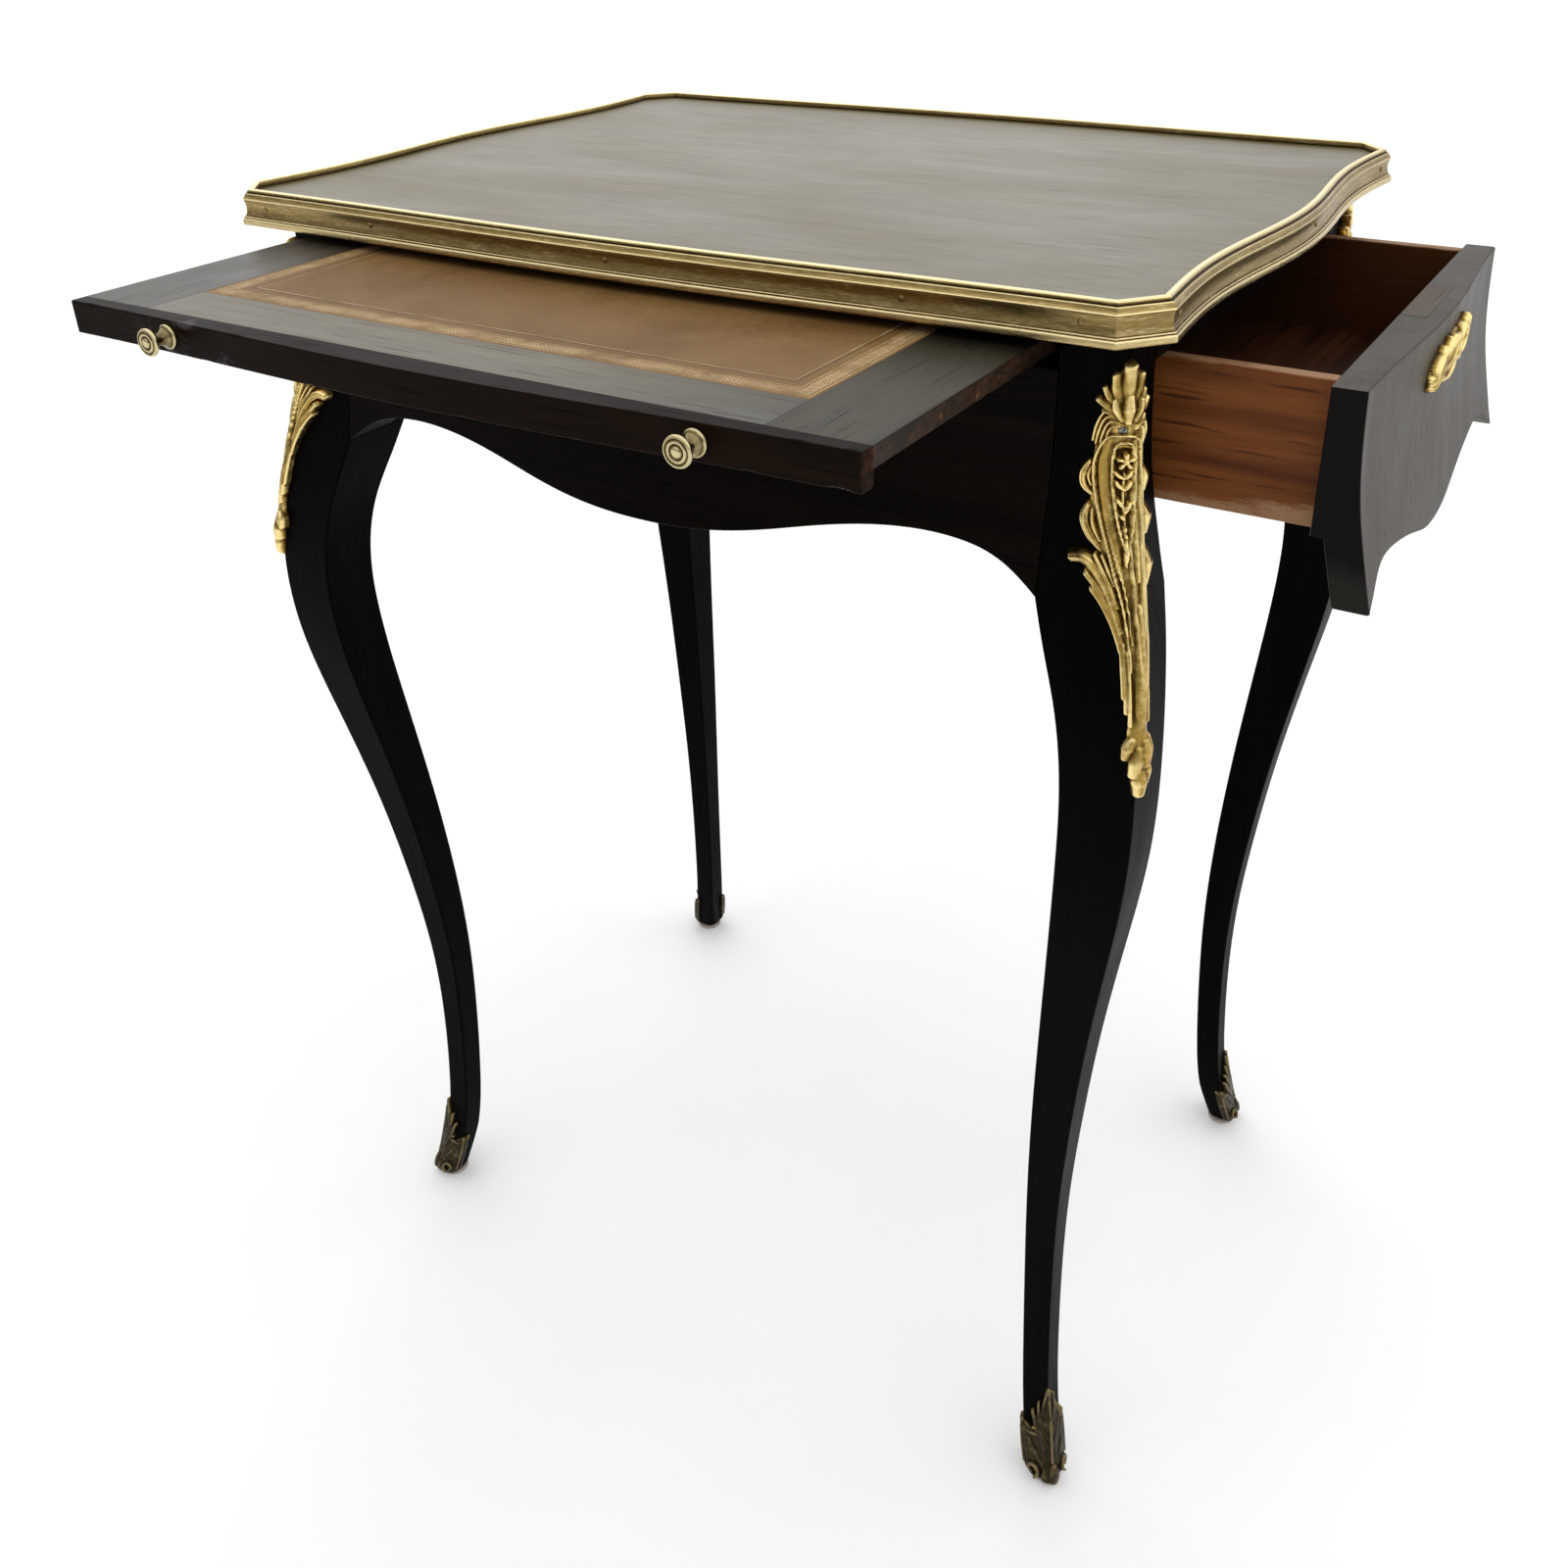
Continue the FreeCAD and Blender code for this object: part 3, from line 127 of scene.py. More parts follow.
# The leg, from the top down: (height, the outer arris' reach as a share of KNEE_SWELL) and
# (height, the section's side as a share of KNEE_SIDE). Heights run from 0 at the foot to 1 under
# the post, and to 2 at the post's top.
OUTER_SHARES = ((2.0, 0.0), (1.6286, 0.036), (1.4001, 0.13), (1.2116, 0.285), (1.0059, 0.48),
                (0.9688, 0.66), (0.9272, 0.855), (0.8695, 1.0), (0.7873, 0.98), (0.6891, 0.69),
                (0.5736, 0.306), (0.4579, 0.03), (0.3423, -0.14), (0.2441, -0.146),
                (0.1447, -0.05), (0.0464, 0.205), (0.0, 0.458))
SECTION_SHARES = ((0.9688, 1.176), (0.9272, 1.08), (0.8695, 1.0), (0.7873, 0.962),
                  (0.6891, 0.854), (0.5736, 0.716), (0.4579, 0.616), (0.3423, 0.524),
                  (0.2441, 0.476), (0.1447, 0.459), (0.0464, 0.473), (0.0, 0.5))


def leg_level(share):
    if share > 1:
        return POST_FOOT + (share - 1) * (UNDERSIDE - POST_FOOT)
    return LEG_FOOT + share * (POST_FOOT - LEG_FOOT)


outer = cubic([leg_level(up) for up, _ in OUTER_SHARES[::-1]],
              [out * KNEE_SWELL for _, out in OUTER_SHARES[::-1]])
inner = cubic([leg_level(up) for up, _ in SECTION_SHARES[::-1]] + [POST_FOOT],
              [float(outer(leg_level(up))) - side * KNEE_SIDE for up, side in SECTION_SHARES[::-1]]
              + [-POST_SIDE])


def leg_side(z):
    """Side of the leg's square section at a height."""
    return outer(z) - np.where(z > POST_FOOT, -POST_SIDE, inner(np.minimum(z, POST_FOOT)))


def swell(share):
    return (1 - np.cos(2 * math.pi * share)) / 2


def wave(share):
    return np.cos(3 * math.pi * (share - 0.5))


# Meshes
def settle(piece, body, node):
    """Puts a piece on its body, in the place of one of the frame's nodes, which it hides."""
    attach(piece, body)
    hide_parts(node)


def build(name, points, faces, material, smooth_angle=35, weighted=True, **fields):
    """An object from points in millimetres; fields are numbers kept at its vertices."""
    mesh = bpy.data.meshes.new(name)
    mesh.from_pydata((np.asarray(points, float).reshape(-1, 3) * MM).tolist(), [], faces)
    mesh.materials.append(material)
    for field, values in fields.items():
        attribute = mesh.attributes.new(field, "FLOAT", "POINT")
        attribute.data.foreach_set("value", np.asarray(values, np.float32).ravel())
    mesh.validate()
    shell = bmesh.new()
    shell.from_mesh(mesh)
    bmesh.ops.recalc_face_normals(shell, faces=shell.faces)
    shell.to_mesh(mesh)
    shell.free()
    mesh.shade_smooth()
    if smooth_angle:
        mesh.set_sharp_from_angle(angle=math.radians(smooth_angle))
    piece = bpy.data.objects.new(name, mesh)
    bpy.context.scene.collection.objects.link(piece)
    if weighted:
        even = piece.modifiers.new("even_shading", "WEIGHTED_NORMAL")
        even.keep_sharp = True
    return piece


def ring_faces(rings, around, start):
    """Faces of rings of points that follow each other, with a face over each end."""
    faces = []
    for i in range(rings - 1):
        low = start + i * around
        high = low + around
        for j in range(around):
            k = (j + 1) % around
            faces.append((low + j, low + k, high + k, high + j))
    faces.append(tuple(start + j for j in range(around))[::-1])
    faces.append(tuple(start + (rings - 1) * around + j for j in range(around)))
    return faces


def lathe_rings(profile, start, direction, around=48):
    """Rings of a turned shape: profile has (distance along, radius) pairs."""
    axis = np.asarray(direction, float) / np.linalg.norm(direction)
    side = np.cross(axis, (0, 0, 1) if abs(axis[2]) < 0.9 else (1, 0, 0))
    side /= np.linalg.norm(side)
    other = np.cross(axis, side)
    turn = np.linspace(0, 2 * math.pi, around, endpoint=False)
    circle = np.cos(turn)[:, None] * side + np.sin(turn)[:, None] * other
    return np.array([np.asarray(start) + axis * along + circle * radius
                     for along, radius in profile])


def several(name, groups, material, **options):
    """One object of several lofts."""
    points, faces, start = [], [], 0
    for rings in groups:
        rings = np.asarray(rings, float)
        points.append(rings.reshape(-1, 3))
        faces += ring_faces(len(rings), rings.shape[1], start)
        start += rings.shape[0] * rings.shape[1]
    return build(name, np.concatenate(points), faces, material, **options)


def loft(name, rings, material, **options):
    return several(name, [rings], material, **options)


def box_rings(low, high, radius, axis, stations):
    """Rings of a board with rounded edges along one axis and softened ends."""
    low, high = np.asarray(low, float), np.asarray(high, float)
    a, b = [i for i in range(3) if i != axis]
    places = [0.0, 0.3, 1.0]
    ends = [low[axis] + radius * share for share in places]
    ends += list(np.linspace(low[axis], high[axis], stations + 2)[1:-1])
    ends += [high[axis] - radius * share for share in places[::-1]]
    shrink = [1.0, 0.3, 0.0] + [0.0] * stations + [0.0, 0.3, 1.0]
    rings = []
    for place, tuck in zip(ends, shrink):
        inset = radius * tuck * 0.6
        corners = [(low[a] + inset, low[b] + inset), (high[a] - inset, low[b] + inset),
                   (high[a] - inset, high[b] - inset), (low[a] + inset, high[b] - inset)]
        section = rounded(corners, radius)
        ring = np.zeros((len(section), 3))
        ring[:, axis] = place
        ring[:, a] = section[:, 0]
        ring[:, b] = section[:, 1]
        rings.append(ring)
    return np.array(rings)


# Materials
class Nodes:
    """Short calls that add nodes to a tree."""

    def __init__(self, owner, kind):
        owner.use_nodes = True
        self.tree = owner.node_tree
        self.shader = next(n for n in self.tree.nodes if n.type == kind)

    def add(self, kind, feeds, **settings):
        node = self.tree.nodes.new("ShaderNode" + kind)
        for name, value in settings.items():
            setattr(node, name, value)
        for key, value in feeds.items():
            if isinstance(value, bpy.types.NodeSocket):
                self.tree.links.new(value, node.inputs[key])
            else:
                node.inputs[key].default_value = value
        return node

    def math(self, operation, *values):
        return self.add("Math", dict(enumerate(values)), operation=operation).outputs[0]

    def plus(self, first, second):
        return self.math("ADD", first, second)

    def minus(self, first, second):
        return self.math("SUBTRACT", first, second)

    def times(self, first, second):
        return self.math("MULTIPLY", first, second)


class Finish(Nodes):
    """A material; constants are set on its shader."""

    def __init__(self, name, **constants):
        self.material = bpy.data.materials.new(name)
        super().__init__(self.material, "BSDF_PRINCIPLED")
        for socket, value in constants.items():
            self.shader.inputs[socket.replace("_", " ")].default_value = value

    def coordinates(self, stretch=(1, 1, 1), shift=(0, 0, 0)):
        source = self.add("TexCoord", {}).outputs["Object"]
        return self.add("Mapping", {"Vector": source, "Scale": stretch,
                                    "Location": shift}).outputs["Vector"]

    def parts(self):
        source = self.add("TexCoord", {}).outputs["Object"]
        return self.add("SeparateXYZ", {0: source}).outputs

    def field(self, name):
        return self.add("Attribute", {}, attribute_name=name).outputs["Fac"]

    def noise(self, scale, stretch=(1, 1, 1), detail=5.0, rough=0.55, twist=0.0, shift=(0, 0, 0)):
        return self.add("TexNoise", {"Vector": self.coordinates(stretch, shift), "Scale": scale,
                                     "Detail": detail, "Roughness": rough,
                                     "Distortion": twist}).outputs["Fac"]

    def cells(self, scale):
        return self.add("TexVoronoi", {"Vector": self.coordinates(),
                                       "Scale": scale}).outputs["Distance"]

    def remap(self, value, low, high, to_low=0.0, to_high=1.0):
        return self.add("MapRange", {0: value, 1: low, 2: high, 3: to_low, 4: to_high}).outputs[0]

    def ramp(self, value, *stops):
        node = self.add("ValToRGB", {0: value})
        elements = node.color_ramp.elements
        while len(elements) < len(stops):
            elements.new(0.5)
        for element, (place, colour) in zip(elements, stops):
            element.position = place
            element.color = (*colour, 1)
        return node.outputs["Color"]

    def mix(self, share, first, second, blend="MIX"):
        feeds = {0: share}
        for key, value in ((6, first), (7, second)):
            feeds[key] = value if isinstance(value, bpy.types.NodeSocket) else (*value, 1)
        return self.add("Mix", feeds, data_type="RGBA", blend_type=blend).outputs[2]

    def bump(self, *layers):
        """Layers of (height, distance in metres), each on the one before."""
        normal = None
        for height, distance in layers:
            feeds = {"Height": height, "Distance": distance, "Strength": 1.0}
            if normal:
                feeds["Normal"] = normal
            normal = self.add("Bump", feeds).outputs["Normal"]
        return normal

    def finish(self, colour, roughness, normal=None):
        for socket, value in (("Base Color", colour), ("Roughness", roughness),
                              ("Normal", normal)):
            if value is not None:
                self.tree.links.new(value, self.shader.inputs[socket])
        return self.material


def along_grain(axis, share=0.04):
    return tuple(share if i == axis else 1 for i in range(3))


# Worn places in millimetres: heights between which the drawer front's black end wears, the
# heights of the scuffs under the drawer's sides, and where scuffs on the slide's edging rise
# and fall along it
END_WORN = (648.0, 636.0)
SIDE_SCUFFED = (634.5, 630.5)
EDGE_SCUFFED = ((-182.0, -150.0), (-88.0, -112.0))


def ebony(name, axis, dark, light, rough_low, rough_high, grain, specular, specks=0.0,
          shine=0.02, tint=(1.0, 1.0, 1.0), black_end=False, worn_end=False, painted_shade=None):
    """Ebonised wood: dark polish over a grain that runs along one axis, with rubs and pits.

    grain is its depth in metres. black_end and worn_end are for the drawer front and the slide's
    boards. The last option, (axis, start, end, least), paints shade: the colour falls to the least
    share between two places in metres.
    """
    f = Finish(name, Specular_IOR_Level=specular, Specular_Tint=(*tint, 1))
    streaks = f.noise(90, along_grain(axis, 0.05), 6, 0.62)
    cloud = f.noise(14, along_grain(axis, 0.4), 4, 0.6, 0.4)
    fine = f.noise(900, along_grain(axis, 0.03), 3, 0.6)
    pores = f.remap(f.noise(520, along_grain(axis, 0.05), 2, 0.5, 0.0, (3, 1, 2)), 0.62, 0.72)
    tone = f.math("MULTIPLY_ADD", streaks, 0.6, f.times(cloud, 0.4))
    colour = f.ramp(tone, (0.36, dark), (0.66, light))
    rubs = f.remap(f.noise(38, along_grain(axis, 0.25), 8, 0.72, 0.6, (7, 5, 1)), 0.64, 0.8,
                   0.0, 0.5)
    colour = f.mix(rubs, colour, tuple(2.2 * c + shine for c in light))
    colour = f.mix(f.times(pores, 0.7), colour, tuple(0.4 * c for c in dark))
    if specks:
        flecks = f.remap(f.noise(160, (1, 1, 1), 6, 0.75, 0.0, (1, 9, 4)), 0.71, 0.76, 0.0, specks)
        colour = f.mix(flecks, colour, (0.32, 0.27, 0.22))
    # The drawer front's end face: the wood's near-black, lighter where worn low down, without the
    # painted sheen of its face.
    if black_end:
        _, y, z = f.parts()
        near_end = f.remap(y, -(FRONT_HALF - 1.0) * MM, -(FRONT_HALF - 0.3) * MM)
        worn = f.remap(f.plus(z, f.times(cloud, 0.03)), END_WORN[0] * MM, END_WORN[1] * MM)
        end_tone = f.mix(worn, (0.002, 0.0016, 0.001), (0.014, 0.013, 0.010))
        colour = f.mix(near_end, colour, end_tone)
    # Painted shade: the colour darkens to the least share between two places along one axis.
    if painted_shade:
        along, start, end, least = painted_shade
        shade_tone = f.mix(1.0, colour, (least, least, least), "MULTIPLY")
        colour = f.mix(f.remap(f.parts()[along], start, end), colour, shade_tone)
    if worn_end:
        x, _, z = f.parts()
        near = f.times(*(f.remap(x, low * MM, high * MM) for low, high in EDGE_SCUFFED))
        scuffed = f.remap(f.noise(55, (1, 1, 1), 8, 0.7, 1.2, (2, 8, 5)), 0.52, 0.74, 0.0, 0.5)
        colour = f.mix(f.times(near, scuffed), colour, (0.16, 0.14, 0.15))
        at_end = f.remap(x, (SLIDE_HALF - 1.0) * MM, (SLIDE_HALF - 0.3) * MM)
        below = f.remap(z, (SLIDE_TOP - 0.2) * MM, (SLIDE_TOP - 1.0) * MM)
        chips = f.remap(f.noise(130, (1, 0.5, 1), 7, 0.75, 0.5, (2, 1, 6)), 0.47, 0.56)
        raw = f.ramp(f.noise(210, (1, 1, 1), 6, 0.7, 0.0, (4, 2, 9)), (0.4, (0.010, 0.003, 0.001)),
                     (0.62, (0.046, 0.018, 0.008)), (0.74, (0.17, 0.10, 0.05)))
        colour = f.mix(at_end, colour, (0.008, 0.004, 0.002))
        colour = f.mix(f.times(f.times(at_end, below), chips), colour, raw)
    rough = f.remap(f.plus(cloud, f.times(fine, 0.35)), 0.45, 0.9, rough_low, rough_high)
    height = f.minus(f.times(fine, 0.5), pores)
    return f.finish(colour, rough, f.bump((cloud, 0.0012), (height, grain)))


def raw_wood(name, axis, dark, light, rough=(0.42, 0.62), specular=0.35, inside=False):
    """Bare or waxed wood along one axis; with inside the drawer sides are darker on their inner
    faces, as painted shade.
    """
    f = Finish(name, Specular_IOR_Level=specular)
    wander = f.noise(9, along_grain(axis, 0.3), 3, 0.5, 0.8)
    rings = f.noise(70, along_grain(axis, 0.06), 6, 0.6, 0.3)
    fine = f.noise(800, along_grain(axis, 0.03), 3, 0.6)
    pores = f.remap(f.noise(430, along_grain(axis, 0.05), 2, 0.5, 0.0, (5, 3, 8)), 0.6, 0.7)
    tone = f.plus(f.times(rings, 0.6), f.times(wander, 0.4))
    middle = tuple((a + b) / 2 for a, b in zip(dark, light))
    colour = f.ramp(tone, (0.34, dark), (0.5, middle), (0.68, light))
    colour = f.mix(f.times(pores, 0.75), colour, tuple(0.35 * c for c in dark))
    # Painted shade: the drawer sides' inner faces are darkened where the inside of the drawer lies
    # in shade; the lighter marks on their top edges and feet are scuffs.
    if inside:
        _, y, z = f.parts()
        painted_inner_shade = f.remap(f.math("ABSOLUTE", y), (DRAWER_HALF - DRAWER_WALL + 1.5) * MM,
                         (DRAWER_HALF - DRAWER_WALL + 0.3) * MM)
        colour = f.mix(painted_inner_shade, colour, tuple(0.22 * c for c in light))
        scuffs = f.noise(120, (0.2, 1, 1), 6, 0.7, 0.4, (3, 4, 1))
        edge = f.remap(f.plus(z, f.times(scuffs, 0.004)), (DRAWER_TOP + 1.2) * MM,
                       (DRAWER_TOP + 2.2) * MM)
        foot = f.remap(f.minus(z, f.times(scuffs, 0.03)), SIDE_SCUFFED[0] * MM,
                       SIDE_SCUFFED[1] * MM)
        colour = f.mix(f.times(f.math("MAXIMUM", edge, foot), 0.55), colour, (0.42, 0.26, 0.14))
    roughness = f.remap(fine, 0.3, 0.7, *rough)
    height = f.minus(f.times(fine, 0.5), pores)
    return f.finish(colour, roughness, f.bump((rings, 0.0002), (height, 0.00012)))


def metal(name, deep, body, bright, rough=(0.22, 0.5), field=None, axis_stretch=(1, 1, 1),
          pitting=0.00006, tarnish=0.35):
    """Cast or drawn metal: dark in its hollows, bright on its crests, with spots of tarnish."""
    f = Finish(name, Metallic=1.0)
    spots = f.noise(260, axis_stretch, 6, 0.65)
    cloud = f.noise(45, axis_stretch, 4, 0.6, 0.3)
    grit = f.noise(2400, (1, 1, 1), 3, 0.6)
    colour = f.ramp(f.math("MULTIPLY_ADD", spots, 0.5, f.times(cloud, 0.5)),
                    (0.36, tuple(0.62 * c for c in body)), (0.54, body), (0.7, bright))
    rough_here = f.remap(spots, 0.35, 0.7, rough[0], rough[1])
    if field:
        level = f.plus(f.field(field), f.times(f.minus(spots, 0.5), tarnish))
        hollow = f.remap(level, 0.52, 0.12)
        crest = f.remap(level, 0.6, 0.85)
        colour = f.mix(crest, colour, bright)
        colour = f.mix(hollow, colour, deep)
        rough_here = f.plus(rough_here, f.times(hollow, 0.25))
    return f.finish(colour, rough_here, f.bump((cloud, 0.0002), (grit, pitting)))


TOP = ebony("top_veneer", 0, (0.062, 0.046, 0.014), (0.118, 0.092, 0.034), 0.30, 0.46,
            0.00012, 0.55, tint=(1.0, 0.98, 0.88))
# The slide's front board, and the rear rail that shares it, darken towards the right end: painted
# shade in place of the reflection that fades there.
SLIDE_WOOD = ebony("slide_wood", 0, (0.060, 0.049, 0.024), (0.115, 0.096, 0.054), 0.32, 0.5,
                   0.0002, 0.4, 0.3, tint=(1.0, 0.98, 0.9), painted_shade=(0, 0.06, 0.168, 0.3))
SLIDE_LEFT = ebony("slide_left_wood", 1, (0.018, 0.014, 0.008), (0.042, 0.033, 0.019), 0.32,
                   0.5, 0.0002, 0.34, 0.25, tint=(1.0, 0.98, 0.92))
# The right stile darkens towards its back: a painted shadow of the top it runs under.
SLIDE_RIGHT = ebony("slide_right_wood", 1, (0.020, 0.017, 0.009), (0.046, 0.040, 0.024), 0.36,
                    0.54, 0.0002, 0.2, 0.3, tint=(1.0, 0.98, 0.9), worn_end=True,
                    painted_shade=(1, -0.28, -0.19, 0.3))
EDGING = ebony("edging_wood", 0, (0.0045, 0.0024, 0.0012), (0.011, 0.0056, 0.0028), 0.34, 0.5,
               0.00015, 0.025, 0.5, worn_end=True)
LEG_WOOD = ebony("leg_wood", 2, (0.0006, 0.0005, 0.0003), (0.0020, 0.0018, 0.0014), 0.36, 0.5,
                 0.00008, 0.018, shine=0.002)
APRON_WOOD = ebony("apron_wood", 0, (0.0014, 0.0009, 0.0005), (0.0054, 0.0033, 0.0017), 0.34,
                   0.48, 0.0001, 0.028, shine=0.004)
# The drawer front's grey tone is a painted sheen: its colour stands in for the bright reflection on
# its face.
FRONT_SHEEN_WOOD = ebony("drawer_front_sheen_wood", 2, (0.051, 0.045, 0.037), (0.070, 0.062, 0.051), 0.36,
                   0.5, 0.0001, 0.08, 0.2, black_end=True)
PATCH_WOOD = ebony("lock_patch_wood", 1, (0.030, 0.016, 0.008), (0.070, 0.038, 0.018), 0.36,
                   0.5, 0.0001, 0.12, 0.2)
# The drawer sides carry painted shade on their inner faces.
DRAWER_WOOD = raw_wood("drawer_mahogany", 0, (0.080, 0.020, 0.004), (0.27, 0.088, 0.020),
                       specular=0.12, inside=True)
# Drawer back and bottom: the sides' reddish tone made about four times darker, painted shade inside
# the drawer.
DRAWER_END_SHADED = raw_wood("drawer_end_shaded_wood", 1, (0.022, 0.004, 0.001), (0.070, 0.018, 0.006),
                      specular=0.1)
DRAWER_FLOOR_SHADED = raw_wood("drawer_floor_shaded_wood", 1, (0.024, 0.007, 0.002), (0.075, 0.026, 0.009),
                        specular=0.1)
OAK, OAK_ACROSS = [raw_wood(name, axis, (0.10, 0.055, 0.025), (0.24, 0.15, 0.08), (0.5, 0.7))
                   for name, axis in (("inner_oak", 1), ("inner_oak_across", 0))]
GILT = metal("gilt_bronze", (0.050, 0.025, 0.005), (0.42, 0.275, 0.068), (0.90, 0.71, 0.31),
             (0.20, 0.38), "relief")
SHOE_BRONZE = metal("shoe_bronze", (0.008, 0.006, 0.003), (0.044, 0.034, 0.018),
                    (0.20, 0.15, 0.07), (0.28, 0.48), "relief", tarnish=0.5)
BRASS = metal("gallery_brass", (0.035, 0.022, 0.008), (0.38, 0.27, 0.10), (0.80, 0.66, 0.36),
              (0.22, 0.42), "relief", (1, 1, 14), 0.00003)
KNOB_BRASS = metal("knob_brass", (0.06, 0.037, 0.011), (0.27, 0.22, 0.105), (0.58, 0.50, 0.28),
                   (0.10, 0.26), "relief", pitting=0.00002)
PIN_BRASS = metal("pin_brass", (0.03, 0.02, 0.01), (0.30, 0.20, 0.08), (0.62, 0.46, 0.22))
STEEL = metal("screw_steel", (0.02, 0.02, 0.02), (0.30, 0.29, 0.27), (0.62, 0.61, 0.58))
pad = Finish("glide_pad", Sheen_Weight=0.3, Specular_IOR_Level=0.2)
pad_fuzz = pad.noise(1800, (1, 1, 0.4), 4, 0.7)
GLIDE = pad.finish(pad.ramp(pad_fuzz, (0.3, (0.22, 0.18, 0.16)), (0.7, (0.50, 0.43, 0.40))),
                   pad.remap(pad_fuzz, 0.3, 0.7, 0.7, 0.95), pad.bump((pad_fuzz, 0.0002)))

# Plan of the top and the brass moulding round it
CORNERS = np.array([
    (-HALF_WIDTH + CANT_X, -HALF_DEPTH), (HALF_WIDTH - CANT_X, -HALF_DEPTH),
    (HALF_WIDTH, -HALF_DEPTH + CANT_Y), (HALF_WIDTH, HALF_DEPTH - CANT_Y),
    (HALF_WIDTH - CANT_X, HALF_DEPTH), (-HALF_WIDTH + CANT_X, HALF_DEPTH),
    (-HALF_WIDTH, HALF_DEPTH - CANT_Y), (-HALF_WIDTH, -HALF_DEPTH + CANT_Y)])
EDGE_NAMES = ("front", "corner_front_right", "right", "corner_rear_right",
              "rear", "corner_rear_left", "left", "corner_front_left")
EDGE_SWELLS = ((swell, FRONT_BOW), None, (wave, SIDE_WAVE), None) * 2


def outward(edge):
    along = CORNERS[(edge + 1) % 8] - CORNERS[edge % 8]
    along = along / np.linalg.norm(along)
    return np.array((along[1], -along[0]))


def mitre(corner):
    before, after = outward(corner - 1), outward(corner)
    return (before + after) / (1 + before @ after)


def edge_point(edge, share, out):
    start = CORNERS[edge] + out * mitre(edge)
    end = CORNERS[(edge + 1) % 8] + out * mitre(edge + 1)
    point = start + (end - start) * share
    if EDGE_SWELLS[edge]:
        shape, amount = EDGE_SWELLS[edge]
        point = point + outward(edge) * shape(share) * amount
    return point


# Moulding profile: millimetres inwards from the edge, millimetres up, and brightness
FRIEZE = [(2.05 + 0.75 * math.sin(math.pi * step / 8), 4.7 + 7.9 * step / 8, 0.42)
          for step in range(9)]
GALLERY_PROFILE = ([(0.35, 0.0, 0.5), (0.06, 0.25, 0.6), (0.0, 0.8, 0.7), (0.0, 2.3, 0.7),
                    (0.12, 2.85, 0.9), (0.5, 3.2, 0.9), (0.9, 3.35, 0.2), (1.0, 3.65, 0.05),
                    (0.78, 3.9, 0.8), (0.86, 4.25, 0.95), (1.2, 4.4, 0.6), (1.95, 4.5, 0.1)]
                   + FRIEZE
                   + [(2.1, 12.75, 0.1), (1.75, 12.85, 0.7), (1.62, 13.15, 1.0),
                      (1.85, 13.45, 0.8), (2.25, 13.9, 0.5), (2.75, 14.75, 0.45),
                      (3.05, 15.6, 0.6), (3.15, 15.95, 0.9), (3.45, 16.15, 0.5),
                      (4.0, 16.05, 0.0), (4.45, 16.2, 0.0), (4.62, 16.9, 0.3),
                      (4.75, 17.55, 0.8), (5.15, 17.9, 1.0), (5.7, 18.0, 1.0),
                      (7.3, 18.0, 0.95), (7.8, 17.85, 0.9), (8.0, 17.4, 0.6),
                      (8.0, 14.5, 0.05), (5.5, 14.5, 0.0), (5.5, 0.0, 0.0)])


def gallery_piece(name, edge, start, end):
    steps = 60 if EDGE_SWELLS[edge] else 4
    rings = [[(*edge_point(edge, share, -inward), UNDERSIDE + up)
              for inward, up, _ in GALLERY_PROFILE]
             for share in np.linspace(start, end, steps + 1)]
    level = [[bright for _, _, bright in GALLERY_PROFILE]] * len(rings)
    piece = loft(name + "_moulding", rings, BRASS, smooth_angle=55, weighted=False,
                 relief=level)
    settle(piece, "table", name)


for edge, name in enumerate(EDGE_NAMES):
    if name == "left":
        gallery_piece("gallery_left_rear", edge, 0.0, 0.5)
        gallery_piece("gallery_left_front", edge, 0.5, 1.0)
    else:
        gallery_piece("gallery_" + name, edge, 0.0, 1.0)

PIN_SHARES = {"front": (0.03, 0.19, 0.5, 0.81, 0.97), "rear": (0.03, 0.19, 0.5, 0.81, 0.97),
              "right": (0.03, 0.54, 0.97), "left": (0.03, 0.46, 0.54, 0.97)}
PIN_DOME = [(-1.0, 1.5), (0.05, 1.5), (0.2, 1.42), (0.45, 1.15), (0.62, 0.75), (0.7, 0.3),
            (0.7, 0.02)]
PIN_INSET, PIN_UP = 2.72, 8.7
pin_groups = []
for name, shares in PIN_SHARES.items():
    edge = EDGE_NAMES.index(name)
    for share in shares:
        x, y = edge_point(edge, share, -PIN_INSET)
        pin_groups.append(lathe_rings(PIN_DOME, (x, y, UNDERSIDE + PIN_UP),
                                      (*outward(edge), 0), 20))
settle(several("gallery_pin_heads", pin_groups, PIN_BRASS), "table",
       "gallery_pins")


